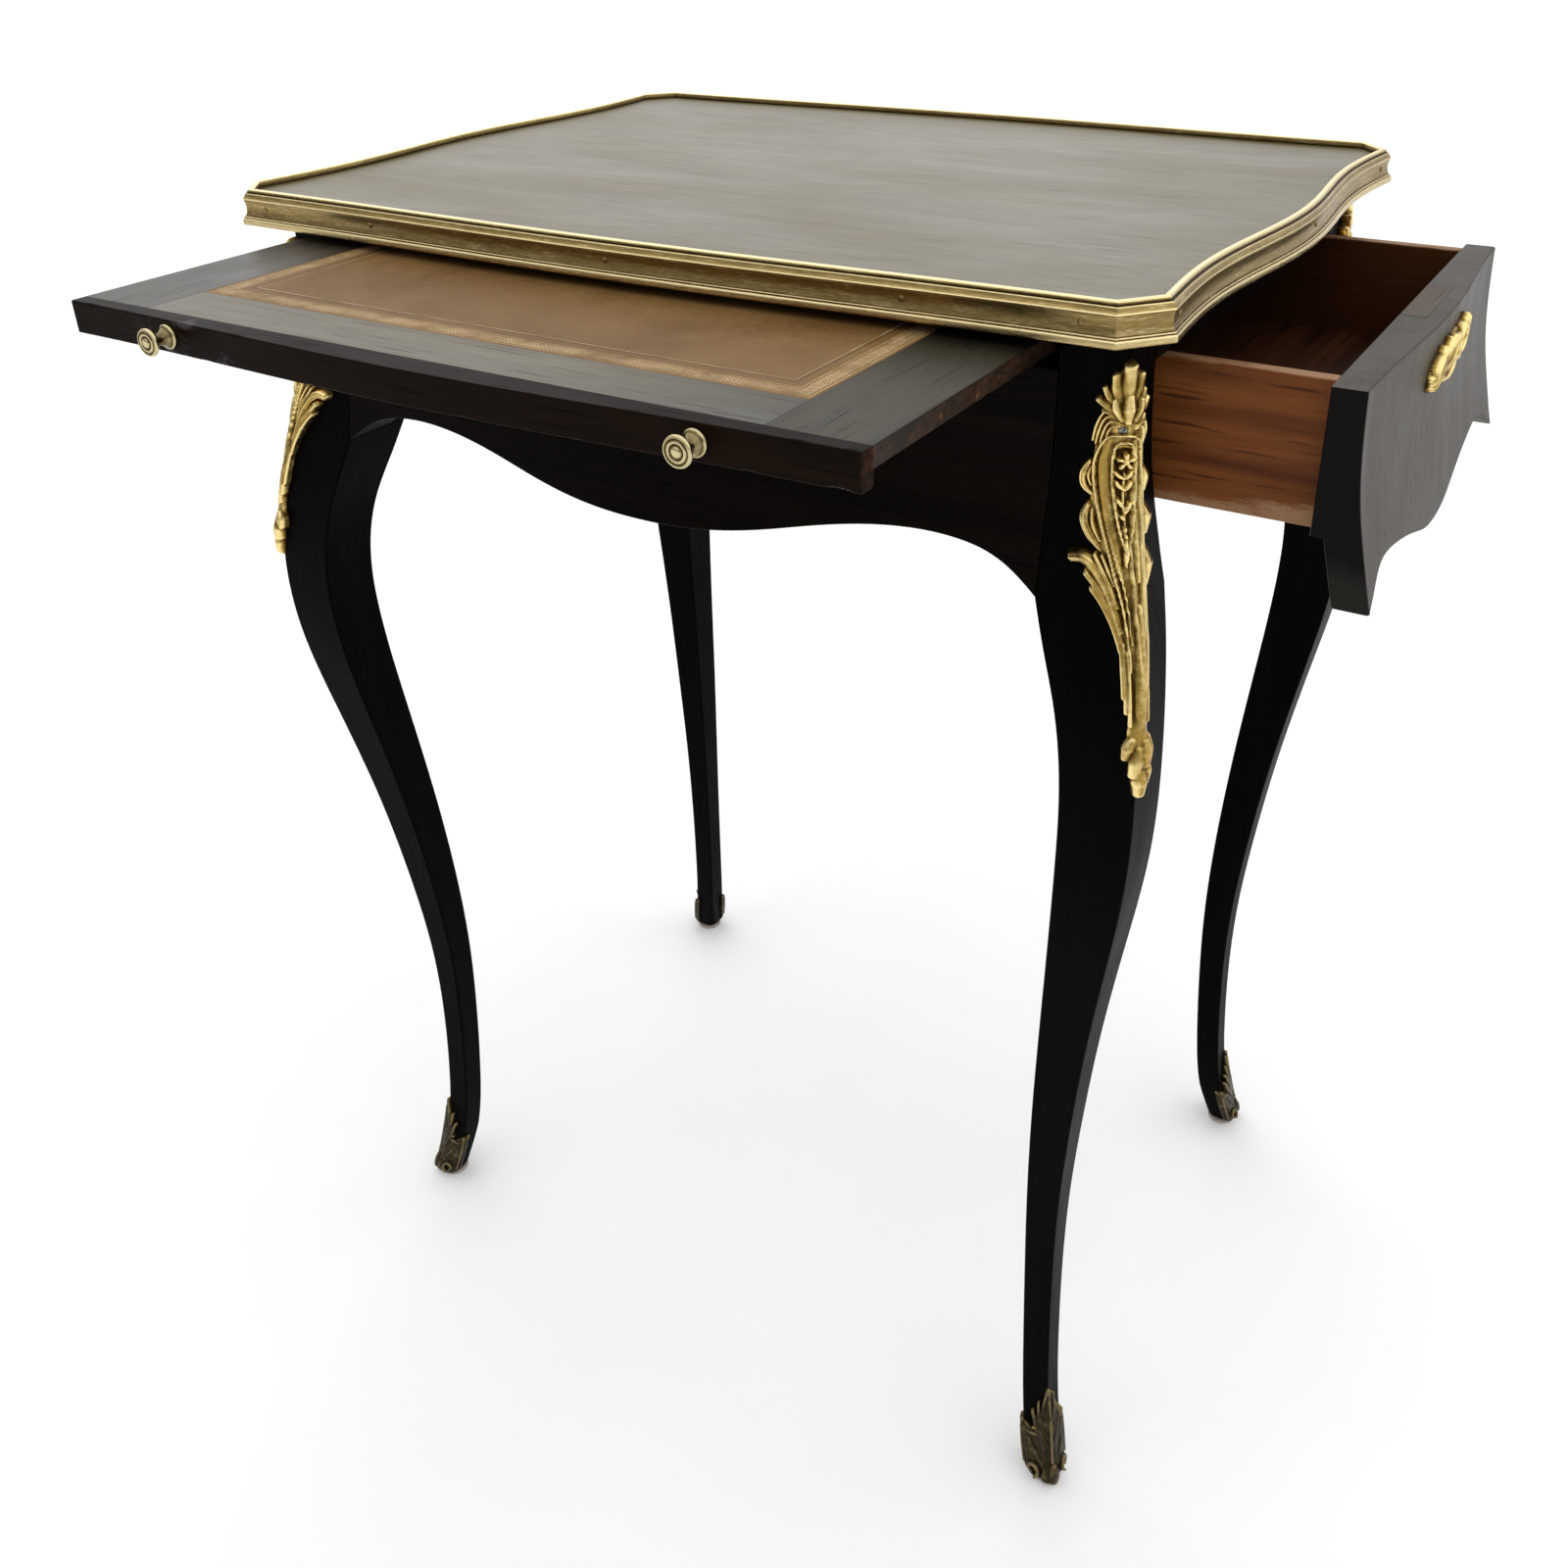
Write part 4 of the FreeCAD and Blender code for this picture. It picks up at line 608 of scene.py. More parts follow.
# Legs: a square section whose arrises are softened
def leg_skin(z, around, rise, radius):
    """Points of the right front leg's skin lifted by rise.

    around runs from the outer arris: below zero over the front face, above over the side.
    """
    z, around, rise = np.broadcast_arrays(*(np.asarray(n, float) for n in (z, around, rise)))
    side = leg_side(z)
    reach = outer(z)
    w = np.abs(around)
    quarter = math.pi / 4
    corner = np.select([w < radius, w < side - radius, w < side + radius,
                        w < 2 * side - radius], [0, 1, 2, 3], 4)
    lift = radius + rise
    angle = np.select([corner == 0, corner == 2, corner == 4],
                      [quarter * (1 - w / radius), -quarter * (1 + (w - side) / radius),
                       -2 * quarter - quarter * (w - 2 * side + radius) / radius], 0)
    a = np.select([corner == 1, corner == 3],
                  [reach + rise, reach - (w - side)],
                  reach - np.where(corner == 4, side - radius, radius) + lift * np.cos(angle))
    b = np.select([corner == 1, corner == 3],
                  [reach - w, reach - side - rise],
                  reach - np.where(corner >= 2, side - radius, radius) + lift * np.sin(angle))
    first = np.where(around < 0, b, a)
    second = np.where(around < 0, a, b)
    return np.stack([POST_X + first, -POST_Y - second, z], -1)


def to_corner(points, sx, sy):
    """Points made for the right front corner, moved to the corner with these signs."""
    return np.asarray(points) * (sx, -sy, 1)


FOUR = [(end, side, sx, sy) for end, sy in (("front", -1), ("rear", 1))
        for side, sx in (("left", -1), ("right", 1))]
ARRIS, MOUNT_ROUNDING, SHOE_ROUNDING = 1.3, 4.0, 2.2
FOOT_ROUNDING, FOOT_ROUNDED = 5.0, 36.0


def foot_radius(z, plain):
    """Radius of the leg's arrises, which grows towards the floor."""
    return plain + FOOT_ROUNDING * np.clip(1 - (z - LEG_FOOT) / FOOT_ROUNDED, 0, 1)


def leg_ring(z):
    side = float(leg_side(z))
    radius = float(foot_radius(z, ARRIS))
    inset = radius + 0.15 * (side / 2 - radius)
    bends = [radius * share for share in (0.0, 0.25, 0.5, 0.75, 1.0)]
    quarter = bends + [inset, side / 2]
    half = quarter + [side - w for w in quarter[-2:0:-1]] + [side + w for w in quarter]
    half += [2 * side - w for w in quarter[-2:0:-1]]
    around = np.array([-w for w in half[:0:-1]] + half + [2 * side])
    return leg_skin(z, around, 0.0, radius)


leg_levels = np.concatenate([np.linspace(LEG_FOOT, 60, 12), np.linspace(66, 606, 90),
                             np.linspace(POST_FOOT, UNDERSIDE, 18)])
leg_rings = np.array([leg_ring(z) for z in leg_levels])
for end, side, sx, sy in FOUR:
    leg = loft(f"leg_{end}_{side}_wood", to_corner(leg_rings, sx, sy), LEG_WOOD)
    settle(leg, "table", f"leg_{end}_{side}")


# Aprons and the drawer front: swelled boards sawn to a line below
def lower_line(shares, half, arch, lobe, end):
    points = [(place * half, arch + drop * (end if place < shares[3][0] else lobe))
              for place, drop in shares]
    points += [(-a, z) for a, z in points[-2::-1]]
    return smooth_line(points, 161)


FRONT_EDGE_SHARES = ((-1.0, -1.0), (-0.945, -0.55), (-0.885, -0.22), (-0.815, -0.04),
                     (-0.72, 0.0), (-0.6, -0.1), (-0.46, -0.36), (-0.33, -0.66),
                     (-0.16, -0.93), (0.0, -1.0))
LOBE_SHARES = ((-0.74, 0.0), (-0.65, -0.06), (-0.54, -0.2), (-0.4, -0.43), (-0.27, -0.69),
               (-0.15, -0.91), (-0.07, -0.98), (0.0, -1.0))
SIDE_EDGE_SHARES = ((-1.0, -1.0), (-0.93, -0.62), (-0.87, -0.3), (-0.81, -0.05)) + LOBE_SHARES
DRAWER_EDGE_SHARES = ((-1.0, -1.0), (-0.93, -0.66), (-0.875, -0.33), (-0.82, -0.06)) + LOBE_SHARES


def bulge(bow, place, z, fade, kick=0.0):
    """How far a swelled face stands beyond the leg's outer line; place runs from -1 to 1."""
    down = (UNDERSIDE - z) / (UNDERSIDE - POST_FOOT)
    return bow * swell((place + 1) / 2) * (1 - fade * down) + kick * down ** 2


def swelled_board(name, line, half, back, top, bow, place, material, edge, end=0.0, fade=0.0,
                  kick=0.0, skirt=None):
    """A board whose face follows the legs' outer line and bows in plan.

    place turns (along, out, height) into a point; edge and end soften its arrises and its ends.
    The bow fades downwards by fade and the foot kicks out by kick. skirt is (height, thickness):
    below that height the back follows the face.
    """
    stations = [(along, low, 0.0) for along, low in line]
    if end:
        first, last = line[0], line[-1]
        stations[0] = (first[0] + end, first[1], 0.0)
        stations[-1] = (last[0] - end, last[1], 0.0)
        stations = ([(first[0], first[1], end), (first[0] + end / 3, first[1], end / 3)]
                    + stations
                    + [(last[0] - end / 3, last[1], end / 3), (last[0], last[1], end)])
    rings = []
    for along, low, tuck in stations:
        def front(z):
            return outer(z) + bulge(bow, along / half, z, fade, kick) - tuck

        heights = np.linspace(low + edge, top - edge, 24)
        face = np.stack([front(heights), heights], 1)
        below, above = float(front(low)), float(front(top))
        section = []
        if skirt:
            level, thick = skirt
            section.append((-back + tuck, level))
            drops = np.linspace(level, low, 12)
            section += [(float(front(z)) - thick + 3 * tuck, z) for z in drops]
        else:
            section.append((-back + tuck, low))
        section += bend_between((below - edge, low), (below, low), face[0])
        section += [tuple(point) for point in face[1:-1]]
        section += bend_between(face[-1], (above, top), (above - edge, top))
        section += [(-back + tuck, top)]
        rings.append([place(along, out, z) for out, z in section])
    return loft(name, rings, material, smooth_angle=40)


ACROSS = {"front": lambda along, out, z: (along, -POST_Y - out, z),
          "rear": lambda along, out, z: (along, POST_Y + out, z),
          "left": lambda along, out, z: (-POST_X - out, along, z),
          "drawer": lambda along, out, z: (POST_X + out + DRAWER_OUT, along, z)}
front_line = lower_line(FRONT_EDGE_SHARES, INNER_X, APRON_ARCH, FRONT_DROP, APRON_ARCH - POST_FOOT)
side_line = lower_line(SIDE_EDGE_SHARES, INNER_Y, SIDE_ARCH, SIDE_DROP, SIDE_ARCH - POST_FOOT)
drawer_line = lower_line(DRAWER_EDGE_SHARES, FRONT_HALF, SIDE_ARCH, SIDE_DROP,
                         SIDE_ARCH - POST_FOOT - CORNER_RISE)
for name, line, half, top, bow, material, fade in (
        ("front", front_line, INNER_X, LIP_BOTTOM - APRON_GAP, RAIL_BOW, APRON_WOOD, 0.0),
        ("rear", front_line, INNER_X, UNDERSIDE, RAIL_BOW, APRON_WOOD, 0.0),
        ("left", side_line, INNER_Y, UNDERSIDE, DRAWER_BOW, LEG_WOOD, BOW_FADE)):
    piece = swelled_board(f"apron_{name}_board", line, half, APRON_INNER, top, bow, ACROSS[name],
                          material, edge=1.2, fade=fade)
    settle(piece, "table", f"apron_{name}")
piece = swelled_board("drawer_front_board", drawer_line, FRONT_HALF, FRONT_THICK, DRAWER_TOP,
                      DRAWER_BOW, ACROSS["drawer"], FRONT_SHEEN_WOOD, edge=1.0, end=0.8,
                      fade=BOW_FADE, kick=DRAWER_KICK, skirt=(DRAWER_FOOT, FRONT_SKIRT))
settle(piece, "drawer", "drawer_front")


# Carving: a height field over u (down) and v (across), in millimetres
SUNK = -1.0
SHOWN, SHELL_BACK = SUNK + 0.02, SUNK - 0.4
SPINE_STEP, STROKE_MARGIN, STROKE_SLOPE = 1.2, 2.5, 1.6
CREST_SPAN, CREST_AMOUNT, CREST_FLOOR = 0.9, 1.7, -0.2


def softened(field, cells):
    """A height field averaged over a few cells each way."""
    for axis in (0, 1):
        for _ in range(2):
            total = sum(np.roll(field, shift, axis) for shift in range(-cells, cells + 1))
            field = total / (2 * cells + 1)
    return field


class Relief:
    def __init__(self, u_span, v_span, step):
        self.step = step
        self.u = np.arange(u_span[0], u_span[1] + step / 2, step)
        self.v = np.arange(v_span[0], v_span[1] + step / 2, step)
        self.height = np.full((len(self.u), len(self.v)), SUNK)

    def stroke(self, line, halves, heights, flutes=0, depth=0.5, dome=0.5, cut=False):
        """A leaf, rib or bead along a line; with cut it is a groove instead."""
        length = np.linalg.norm(np.diff(np.asarray(line, float), axis=0), axis=1).sum()
        count = max(4, int(length / SPINE_STEP))
        spine = smooth_line(line, count)
        shares = np.linspace(0, 1, count)
        wide = np.interp(shares, np.linspace(0, 1, len(halves)), halves)
        tall = np.interp(shares, np.linspace(0, 1, len(heights)), heights)
        margin = wide.max() + STROKE_MARGIN
        rows = np.where((self.u > spine[:, 0].min() - margin)
                        & (self.u < spine[:, 0].max() + margin))[0]
        columns = np.where((self.v > spine[:, 1].min() - margin)
                           & (self.v < spine[:, 1].max() + margin))[0]
        spot = np.ix_(rows, columns)
        grid = np.stack(np.meshgrid(self.u[rows], self.v[columns], indexing="ij"), -1)
        offset = grid[:, :, None, :] - spine
        near = np.argmin((offset ** 2).sum(-1), -1)
        tangent = np.gradient(spine, axis=0)
        tangent /= np.linalg.norm(tangent, axis=1)[:, None]
        step = length / (count - 1)
        here = np.take_along_axis(offset, near[:, :, None, None], 2)[:, :, 0]
        ahead = (here * tangent[near]).sum(-1)
        across = here[..., 0] * tangent[near][..., 1] - here[..., 1] * tangent[near][..., 0]
        place = near + ahead / step
        inside = np.clip(place, 0, count - 1)
        beyond = (place - inside) * step
        width = np.interp(inside, np.arange(count), wide)
        rise = np.interp(inside, np.arange(count), tall)
        reach = np.hypot(across, beyond) / width
        shape = np.clip(1 - reach ** 2, 0, 1) ** dome
        if cut:
            self.height[spot] = np.where(reach < 1, self.height[spot] - rise * shape,
                                         self.height[spot])
            return
        if flutes:
            turn = math.pi * flutes * (across / width + 1)
            shape = shape - depth / np.maximum(rise, 0.5) * (0.5 + 0.5 * np.cos(turn)) ** 2
        field = np.where(reach < 1, rise * shape, -(reach - 1) * width * STROKE_SLOPE)
        self.height[spot] = np.maximum(self.height[spot], field)

    def strokes(self, rows):
        for row in rows:
            self.stroke(*row)

    def crests(self):
        """0 in hollows, 1 on crests, 0.5 on plain ground."""
        level = np.maximum(self.height, CREST_FLOOR)
        ground = softened(level, max(1, round(CREST_SPAN / self.step)))
        return np.clip(0.5 + (level - ground) / CREST_AMOUNT, 0, 1)


def carve(name, relief, reach, material):
    """A closed shell: the carved face, a back sunk in what carries it, and the edge between."""
    rows, columns = relief.height.shape
    shown = relief.height > SHOWN
    quads = shown[:-1, :-1] | shown[1:, :-1] | shown[:-1, 1:] | shown[1:, 1:]
    used = np.zeros(relief.height.shape, bool)
    for down in (0, 1):
        for over in (0, 1):
            used[down:rows - 1 + down, over:columns - 1 + over] |= quads
    number = np.full(used.shape, -1)
    number[used] = np.arange(used.sum())
    count = int(used.sum())
    u, v = np.meshgrid(relief.u, relief.v, indexing="ij")
    front = reach(u[used], v[used], relief.height[used])
    back = reach(u[used], v[used], np.full(count, SHELL_BACK))
    i, j = np.where(quads)
    face = np.stack([number[i, j], number[i, j + 1], number[i + 1, j + 1], number[i + 1, j]], 1)
    faces = face.tolist() + (face[:, ::-1] + count).tolist()
    padded = np.pad(quads, 1)
    for (di, dj), (first, second) in (((-1, 0), ((0, 0), (0, 1))), ((1, 0), ((1, 1), (1, 0))),
                                      ((0, -1), ((1, 0), (0, 0))), ((0, 1), ((0, 1), (1, 1)))):
        rim = quads & ~padded[1 + di:rows + di, 1 + dj:columns + dj]
        i, j = np.where(rim)
        a = number[i + first[0], j + first[1]]
        b = number[i + second[0], j + second[1]]
        faces += np.stack([b, a, a + count, b + count], 1).tolist()
    crests = relief.crests()[used]
    return build(name, np.concatenate([front, back]), faces, material, smooth_angle=0,
                 weighted=False, relief=np.concatenate([crests, np.zeros(count)]))


def four_castings(node, relief, reach, material):
    """A relief carved on each corner; reach makes points of the right front one."""
    for end, side, sx, sy in FOUR:
        piece = carve(f"{node}_{end}_{side}_casting", relief,
                      lambda u, v, rise: to_corner(reach(u, v, rise), sx, sy), material)
        settle(piece, "table", f"{node}_{end}_{side}")


def standing(reach, u, v, rise, sx, sy):
    """A point on one corner and the direction out of its skin."""
    start = to_corner(reach(u, v, rise), sx, sy)
    return start, to_corner(reach(u, v, rise + 1), sx, sy) - start


# Corner mount: folded leaves, gadroons, a framed panel of flowers, a spray and a smooth stem.
# Each row: line of (u, v), half widths, heights, and where they differ from the usual the
# flutes, their depth and the dome
MOUNT_GROUND = [
    ([(7, -0.8), (14, -1.4), (22, -1.2), (30, -2.0)], (3.4, 7.0, 9.0, 9.8), (4.6, 5.0, 5.0, 3.8),
     0, 0, 0.35),
    ([(30, -2.2), (38, -2.6), (50, -2.4), (66, -2.2), (80, -0.8), (95, 1.0), (112, 2.2), (125, 2.8),
      (140, 3.0), (156, 3.2)], (9.6, 11.4, 13.2, 13.0, 11.4, 9.4, 7.4, 7.0, 6.6, 6.0),
     (3.4, 3.4, 3.4, 3.4, 3.4, 3.4, 3.6, 3.6, 3.4, 3.4), 0, 0, 0.3),
]
MOUNT_CREST = [
    ([(20, -0.6), (12, -0.4), (3.2, -0.2)], (2.2, 3.0, 2.4), (5.6, 6.8, 6.6)),
    ([(19, -2.4), (12.6, -4.0), (7.2, -4.4)], (2.2, 2.8, 2.2), (5.4, 6.2, 6.0)),
    ([(20, -3.0), (16.5, -6.6), (13.0, -8.6)], (2.2, 2.8, 2.1), (5.2, 6.0, 5.8)),
    ([(23, -3.0), (20.4, -7.6), (18.4, -11.2)], (2.2, 3.0, 2.4), (5.2, 6.2, 5.8)),
    ([(24.4, -3.4), (23.4, -6.4), (22.6, -9.0)], (1.3, 1.8, 1.4), (5.0, 5.8, 5.2)),
    ([(18, 0.8), (12, 2.6), (7.4, 3.4)], (2.0, 2.7, 2.2), (5.4, 6.2, 5.8)),
    ([(24, 1.8), (19.0, 4.4), (14.6, 6.2)], (2.0, 2.8, 2.2), (5.2, 6.0, 5.6)),
    ([(25, 3.2), (22, 7.2), (19.6, 10.8)], (2.0, 3.0, 2.3), (5.2, 6.0, 5.6)),
    ([(30, 2.4), (28, 5.6), (25.6, 7.6)], (1.5, 2.1, 1.6), (5.0, 5.8, 5.4)),
    ([(26, -1.9), (21.2, -3.4), (17.0, -3.8)], (1.3, 1.9, 1.3), (6.0, 7.2, 6.8)),
    ([(26, 1.2), (21.6, 2.8), (17.6, 3.2)], (1.3, 1.9, 1.3), (6.0, 7.0, 6.6)),
    ([(27, -0.4), (21, -0.4), (15.4, -0.4)], (1.5, 2.4, 1.7), (6.6, 8.0, 7.4), 2, 0.4),
]
MOUNT_GADROONS = [
    ([(23.8, -2.8), (22.8, -7.2), (28, -11.0), (36.5, -13.4)], (0.8, 1.0, 1.1, 0.8),
     (5.0, 5.8, 5.8, 4.6)),
    ([(25.5, -2.7), (25.0, -6.4), (30, -9.8), (37.8, -12.0)], (0.7, 0.9, 1.0, 0.7),
     (5.0, 5.8, 5.8, 4.6)),
    ([(27.2, -2.7), (27.2, -5.4), (31.8, -8.4), (38.6, -10.2)], (0.7, 0.8, 0.9, 0.7),
     (4.8, 5.6, 5.6, 4.6)),
    ([(28.8, -2.8), (29.4, -4.8), (33.4, -7.0), (39.4, -8.6)], (0.6, 0.7, 0.8, 0.6),
     (4.6, 5.4, 5.2, 4.4)),
    ([(27, 2.4), (27.4, 6.6), (31, 9.6), (37.5, 11.4)], (0.8, 1.0, 1.0, 0.8), (5.0, 5.8, 5.6, 4.4)),
    ([(29, 2.4), (30, 5.6), (33, 8.0), (39, 9.6)], (0.7, 0.8, 0.9, 0.7), (4.8, 5.6, 5.4, 4.4)),
]
MOUNT_FRAME = [
    # smooth shoulders on both sides of the panel
    ([(35, -5.6), (42, -8.0), (52, -8.2), (66, -6.8), (80, -4.6), (94, -2.2)],
     (2.0, 3.4, 3.6, 3.2, 2.4, 1.0), (4.4, 4.8, 4.8, 4.8, 4.8, 4.6), 0, 0, 0.3),
    ([(36, 3.0), (42, 4.0), (54, 4.0), (70, 3.4), (84, 3.6), (96, 4.0)],
     (1.4, 1.7, 1.7, 1.7, 1.4, 1.0), (4.4, 4.8, 4.8, 4.8, 4.8, 4.6), 0, 0, 0.3),
    # fillets
    ([(32.6, -1.8), (33.6, -5.6), (38, -9.4), (45, -12.0), (52, -12.2), (63.6, -10.6), (74, -8.4),
      (86, -5.4), (95, -3.6), (108, -2.0), (122, -1.3), (133, -0.9)],
     (0.7, 0.8, 0.9, 0.9, 0.9, 0.8, 0.7, 0.6, 0.5, 0.45, 0.4, 0.3),
     (5.6, 5.8, 6.0, 6.0, 6.0, 6.0, 6.0, 6.0, 6.0, 6.0, 5.6, 4.4)),
    ([(70, -7.2), (80, -4.4), (90, -2.6), (104, -1.0), (121, -0.3)], (0.4, 0.45, 0.4, 0.35, 0.3),
     (5.2, 5.6, 5.8, 5.8, 5.2)),
    ([(32.6, -1.8), (33.4, 1.4), (36.5, 4.6), (46, 6.0), (62, 5.6), (76, 5.4), (92, 5.8),
      (109, 6.0), (124, 6.2), (138, 6.2)], (0.6, 0.6, 0.7, 0.7, 0.7, 0.7, 0.7, 0.6, 0.6, 0.4),
     (5.6, 5.6, 5.8, 5.8, 5.8, 5.8, 5.8, 5.8, 5.4, 4.4)),
    ([(81, -0.9), (74.5, -2.0), (66.8, -2.9), (57, -3.7), (47.2, -4.1), (40, -3.6), (36.0, -2.0),
      (36.2, 0.5), (39.8, 2.0), (46.5, 2.5), (57, 2.3), (68.5, 1.8), (80, 0.7)],
     (0.4,) + (0.5,) * 11 + (0.4,), (5.0,) + (5.8,) * 11 + (5.0,)),
    ([(80, 0.5), (92, 0.9), (106, 1.2), (120, 1.5), (131, 1.5)], (0.35, 0.4, 0.4, 0.4, 0.25),
     (5.8, 6.2, 6.2, 6.0, 5.2)),
    ([(40, 8.6), (52, 9.2), (70, 9.0), (95, 8.8), (118, 9.2), (142, 9.4)],
     (0.9, 1.0, 1.0, 1.0, 1.0, 0.6), (4.6, 5.2, 5.2, 5.2, 4.8, 3.4)),
]
MOUNT_SIDE_LEAVES = [
    ([(60, -13.6), (56.5, -17.2), (50.6, -17.2), (46, -14.6)], (1.3, 2.1, 2.3, 1.4),
     (3.6, 4.8, 5.0, 4.4), 2, 0.7),
    ([(56, -13.8), (52, -14.8), (48, -13.8)], (0.8, 1.1, 0.7), (4.2, 5.0, 4.4)),
    ([(83, -11.0), (76.6, -15.6), (70, -17.4), (64.6, -15.6)], (1.4, 2.6, 2.8, 1.6),
     (3.8, 5.0, 5.4, 4.6), 3, 0.8),
    ([(79, -10.6), (72, -13.2), (66, -13.4)], (1.0, 1.6, 1.0), (4.2, 5.2, 4.6)),
    ([(48, 10.4), (54, 13.0), (60, 12.6)], (1.6, 2.6, 1.5), (4.2, 6.4, 4.6), 2),
    ([(64, 10.6), (71, 13.6), (78, 12.8)], (1.8, 3.0, 1.6), (4.4, 7.0, 5.0), 2),
    ([(82, 10.6), (91, 13.2), (100, 11.8)], (1.8, 2.8, 1.4), (4.4, 6.9, 4.6), 2),
]
MOUNT_SPRAY = [
    ([(129, -3.6), (116, -5.8), (105.4, -10.4), (100, -15.0)], (1.1, 1.9, 2.7, 2.3),
     (3.6, 4.6, 5.4, 5.2), 2, 0.4),
    ([(122, -3.5), (110, -6.2), (99.8, -11.6), (93.8, -17.2)], (1.2, 2.1, 2.8, 2.4),
     (4.0, 5.0, 5.8, 5.6), 2, 0.4),
    ([(116, -3.4), (103.6, -6.6), (93, -11.8), (87.6, -18.2), (88.2, -24.0)],
     (1.4, 2.3, 3.1, 3.3, 2.6), (4.4, 5.4, 6.2, 6.6, 5.8), 3, 0.45),
    ([(106, -3.9), (95, -7.4), (87.8, -11.4), (84.8, -12.9)], (1.0, 1.7, 1.8, 1.1),
     (4.8, 5.8, 6.2, 5.6), 2, 0.7),
    ([(97, -4.4), (89, -7.4), (84.4, -9.6)], (0.6, 1.2, 0.7), (5.0, 6.0, 5.6), 2, 0.6),
]
MOUNT_STEM = [
    ([(118, -3.8), (131, -3.9), (143.6, -4.0)], (0.8, 1.1, 1.1), (3.8, 4.6, 4.8)),
    ([(121, -2.7), (136, -2.9), (150, -3.2)], (0.7, 1.0, 1.2), (4.4, 5.0, 5.0)),
    ([(124, -1.7), (139, -1.8), (155.4, -2.2)], (0.6, 0.9, 1.1), (4.8, 5.2, 5.2)),
    ([(106, 3.4), (124, 3.0), (141, 2.2), (156, 1.6)], (1.6, 2.6, 2.9, 2.8), (5.0, 5.4, 5.6, 4.6),
     0, 0, 0.4),
    ([(130, 7.4), (145, 7.2), (156, 6.6)], (1.0, 1.5, 1.3), (3.6, 4.2, 4.0)),
]
MOUNT_BUD = [
    ([(154, 1.4), (166, 1.4), (178, 1.2)], (4.4, 6.2, 3.6), (4.0, 4.6, 4.4), 0, 0, 0.35),
    ([(162, -1.6), (166.4, -3.2), (170.4, -4.0)], (2.2, 3.0, 2.3), (5.2, 6.2, 5.6)),
    ([(162, 5.0), (168, 6.4), (173.6, 6.0)], (2.2, 3.2, 2.3), (4.8, 5.8, 5.2)),
    ([(163, 2.6), (169, 2.8), (174, 2.4)], (2.2, 3.4, 2.7), (5.6, 7.0, 6.4), 2, 0.35),
    ([(166, 0.4), (173, -0.4), (178.4, -1.2)], (2.2, 3.0, 2.3), (5.6, 7.0, 6.2)),
    ([(172, 4.4), (178, 4.2), (183, 3.2)], (1.9, 2.7, 2.0), (4.8, 6.0, 5.2)),
    ([(177, 0.8), (183, 0.8), (188, 0.8)], (2.4, 3.2, 2.4), (5.8, 6.8, 5.8), 2, 0.35),
]
# Foliage in the frame, on the ground that is cut first
PANEL_CUT = ([(40.5, -0.8), (50, -0.9), (60, -0.7), (72, -0.4)], (2.4, 3.0, 2.6, 1.5),
             (1.5, 1.7, 1.6, 0.9), 0, 0, 0.2, True)
FOLIAGE = [
    ([(49, -0.7), (60, -0.9), (70, -0.6), (78, -0.3)], (0.4, 0.45, 0.4, 0.35),
     (4.4, 4.6, 4.6, 4.4)),
    ([(43.4, -0.4), (40.9, -0.3)], (1.1, 1.25), (5.4, 6.2)),
    ([(43.6, -0.2), (43.2, 1.5)], (1.0, 1.15), (5.4, 6.2)),
    ([(43.6, -0.6), (42.8, -2.2)], (1.0, 1.15), (5.4, 6.2)),
    ([(44.2, -0.2), (46.4, 0.8)], (1.0, 1.1), (5.4, 6.0)),
    ([(44.2, -0.6), (46.2, -1.7)], (1.0, 1.1), (5.4, 6.0)),
    ([(43.6, -0.4), (44.2, -0.4)], (0.95, 0.95), (7.2, 7.2)),
    ([(51.4, -0.9), (49.8, -2.4), (48.4, -3.2)], (0.8, 1.15, 0.8), (4.6, 5.4, 5.0)),
    ([(51.4, -0.5), (50, 0.8), (48.6, 1.5)], (0.8, 1.15, 0.8), (4.6, 5.4, 5.0)),
    ([(56, -1.0), (54, -2.4), (52.4, -3.0)], (0.8, 1.15, 0.8), (4.6, 5.4, 5.0)),
    ([(56.4, -0.7), (54.6, 0.6), (53, 1.4)], (0.8, 1.15, 0.8), (4.6, 5.4, 5.0)),
    ([(63.6, -1.0), (61.6, -2.0), (60.2, -2.6)], (0.8, 1.1, 0.8), (4.6, 5.3, 4.9)),
    ([(66, -0.5), (64, 0.4), (62, 1.2)], (0.8, 1.1, 0.8), (4.6, 5.3, 4.9)),
    ([(69, -0.8), (67.4, -1.7)], (0.6, 0.7), (4.8, 5.4)),
    ([(72.2, -0.7), (73, -0.7)], (0.9, 0.9), (5.8, 5.8)),
    ([(75.4, -0.4), (76, -0.4)], (0.7, 0.7), (5.6, 5.6)),
    ([(77, -0.2), (82.4, -0.4), (88.4, -0.7)], (0.5, 1.1, 0.5), (5.0, 6.2, 5.4), 2, 0.6),
]
mount = Relief((-2, 196), (-30, 19), 0.42)
for rows in (MOUNT_GROUND, MOUNT_CREST, MOUNT_GADROONS, MOUNT_FRAME, MOUNT_SIDE_LEAVES,
             MOUNT_SPRAY, MOUNT_STEM, MOUNT_BUD, [PANEL_CUT], FOLIAGE):
    mount.strokes(rows)
mount.stroke([(30.4, -1.5), (31.2, -1.5)], (1.5, 1.5), (1.8, 1.8), 0, 0, 0.4, True)


def mount_reach(u, v, rise):
    return leg_skin(MOUNT_TOP - u, v, rise, MOUNT_ROUNDING)


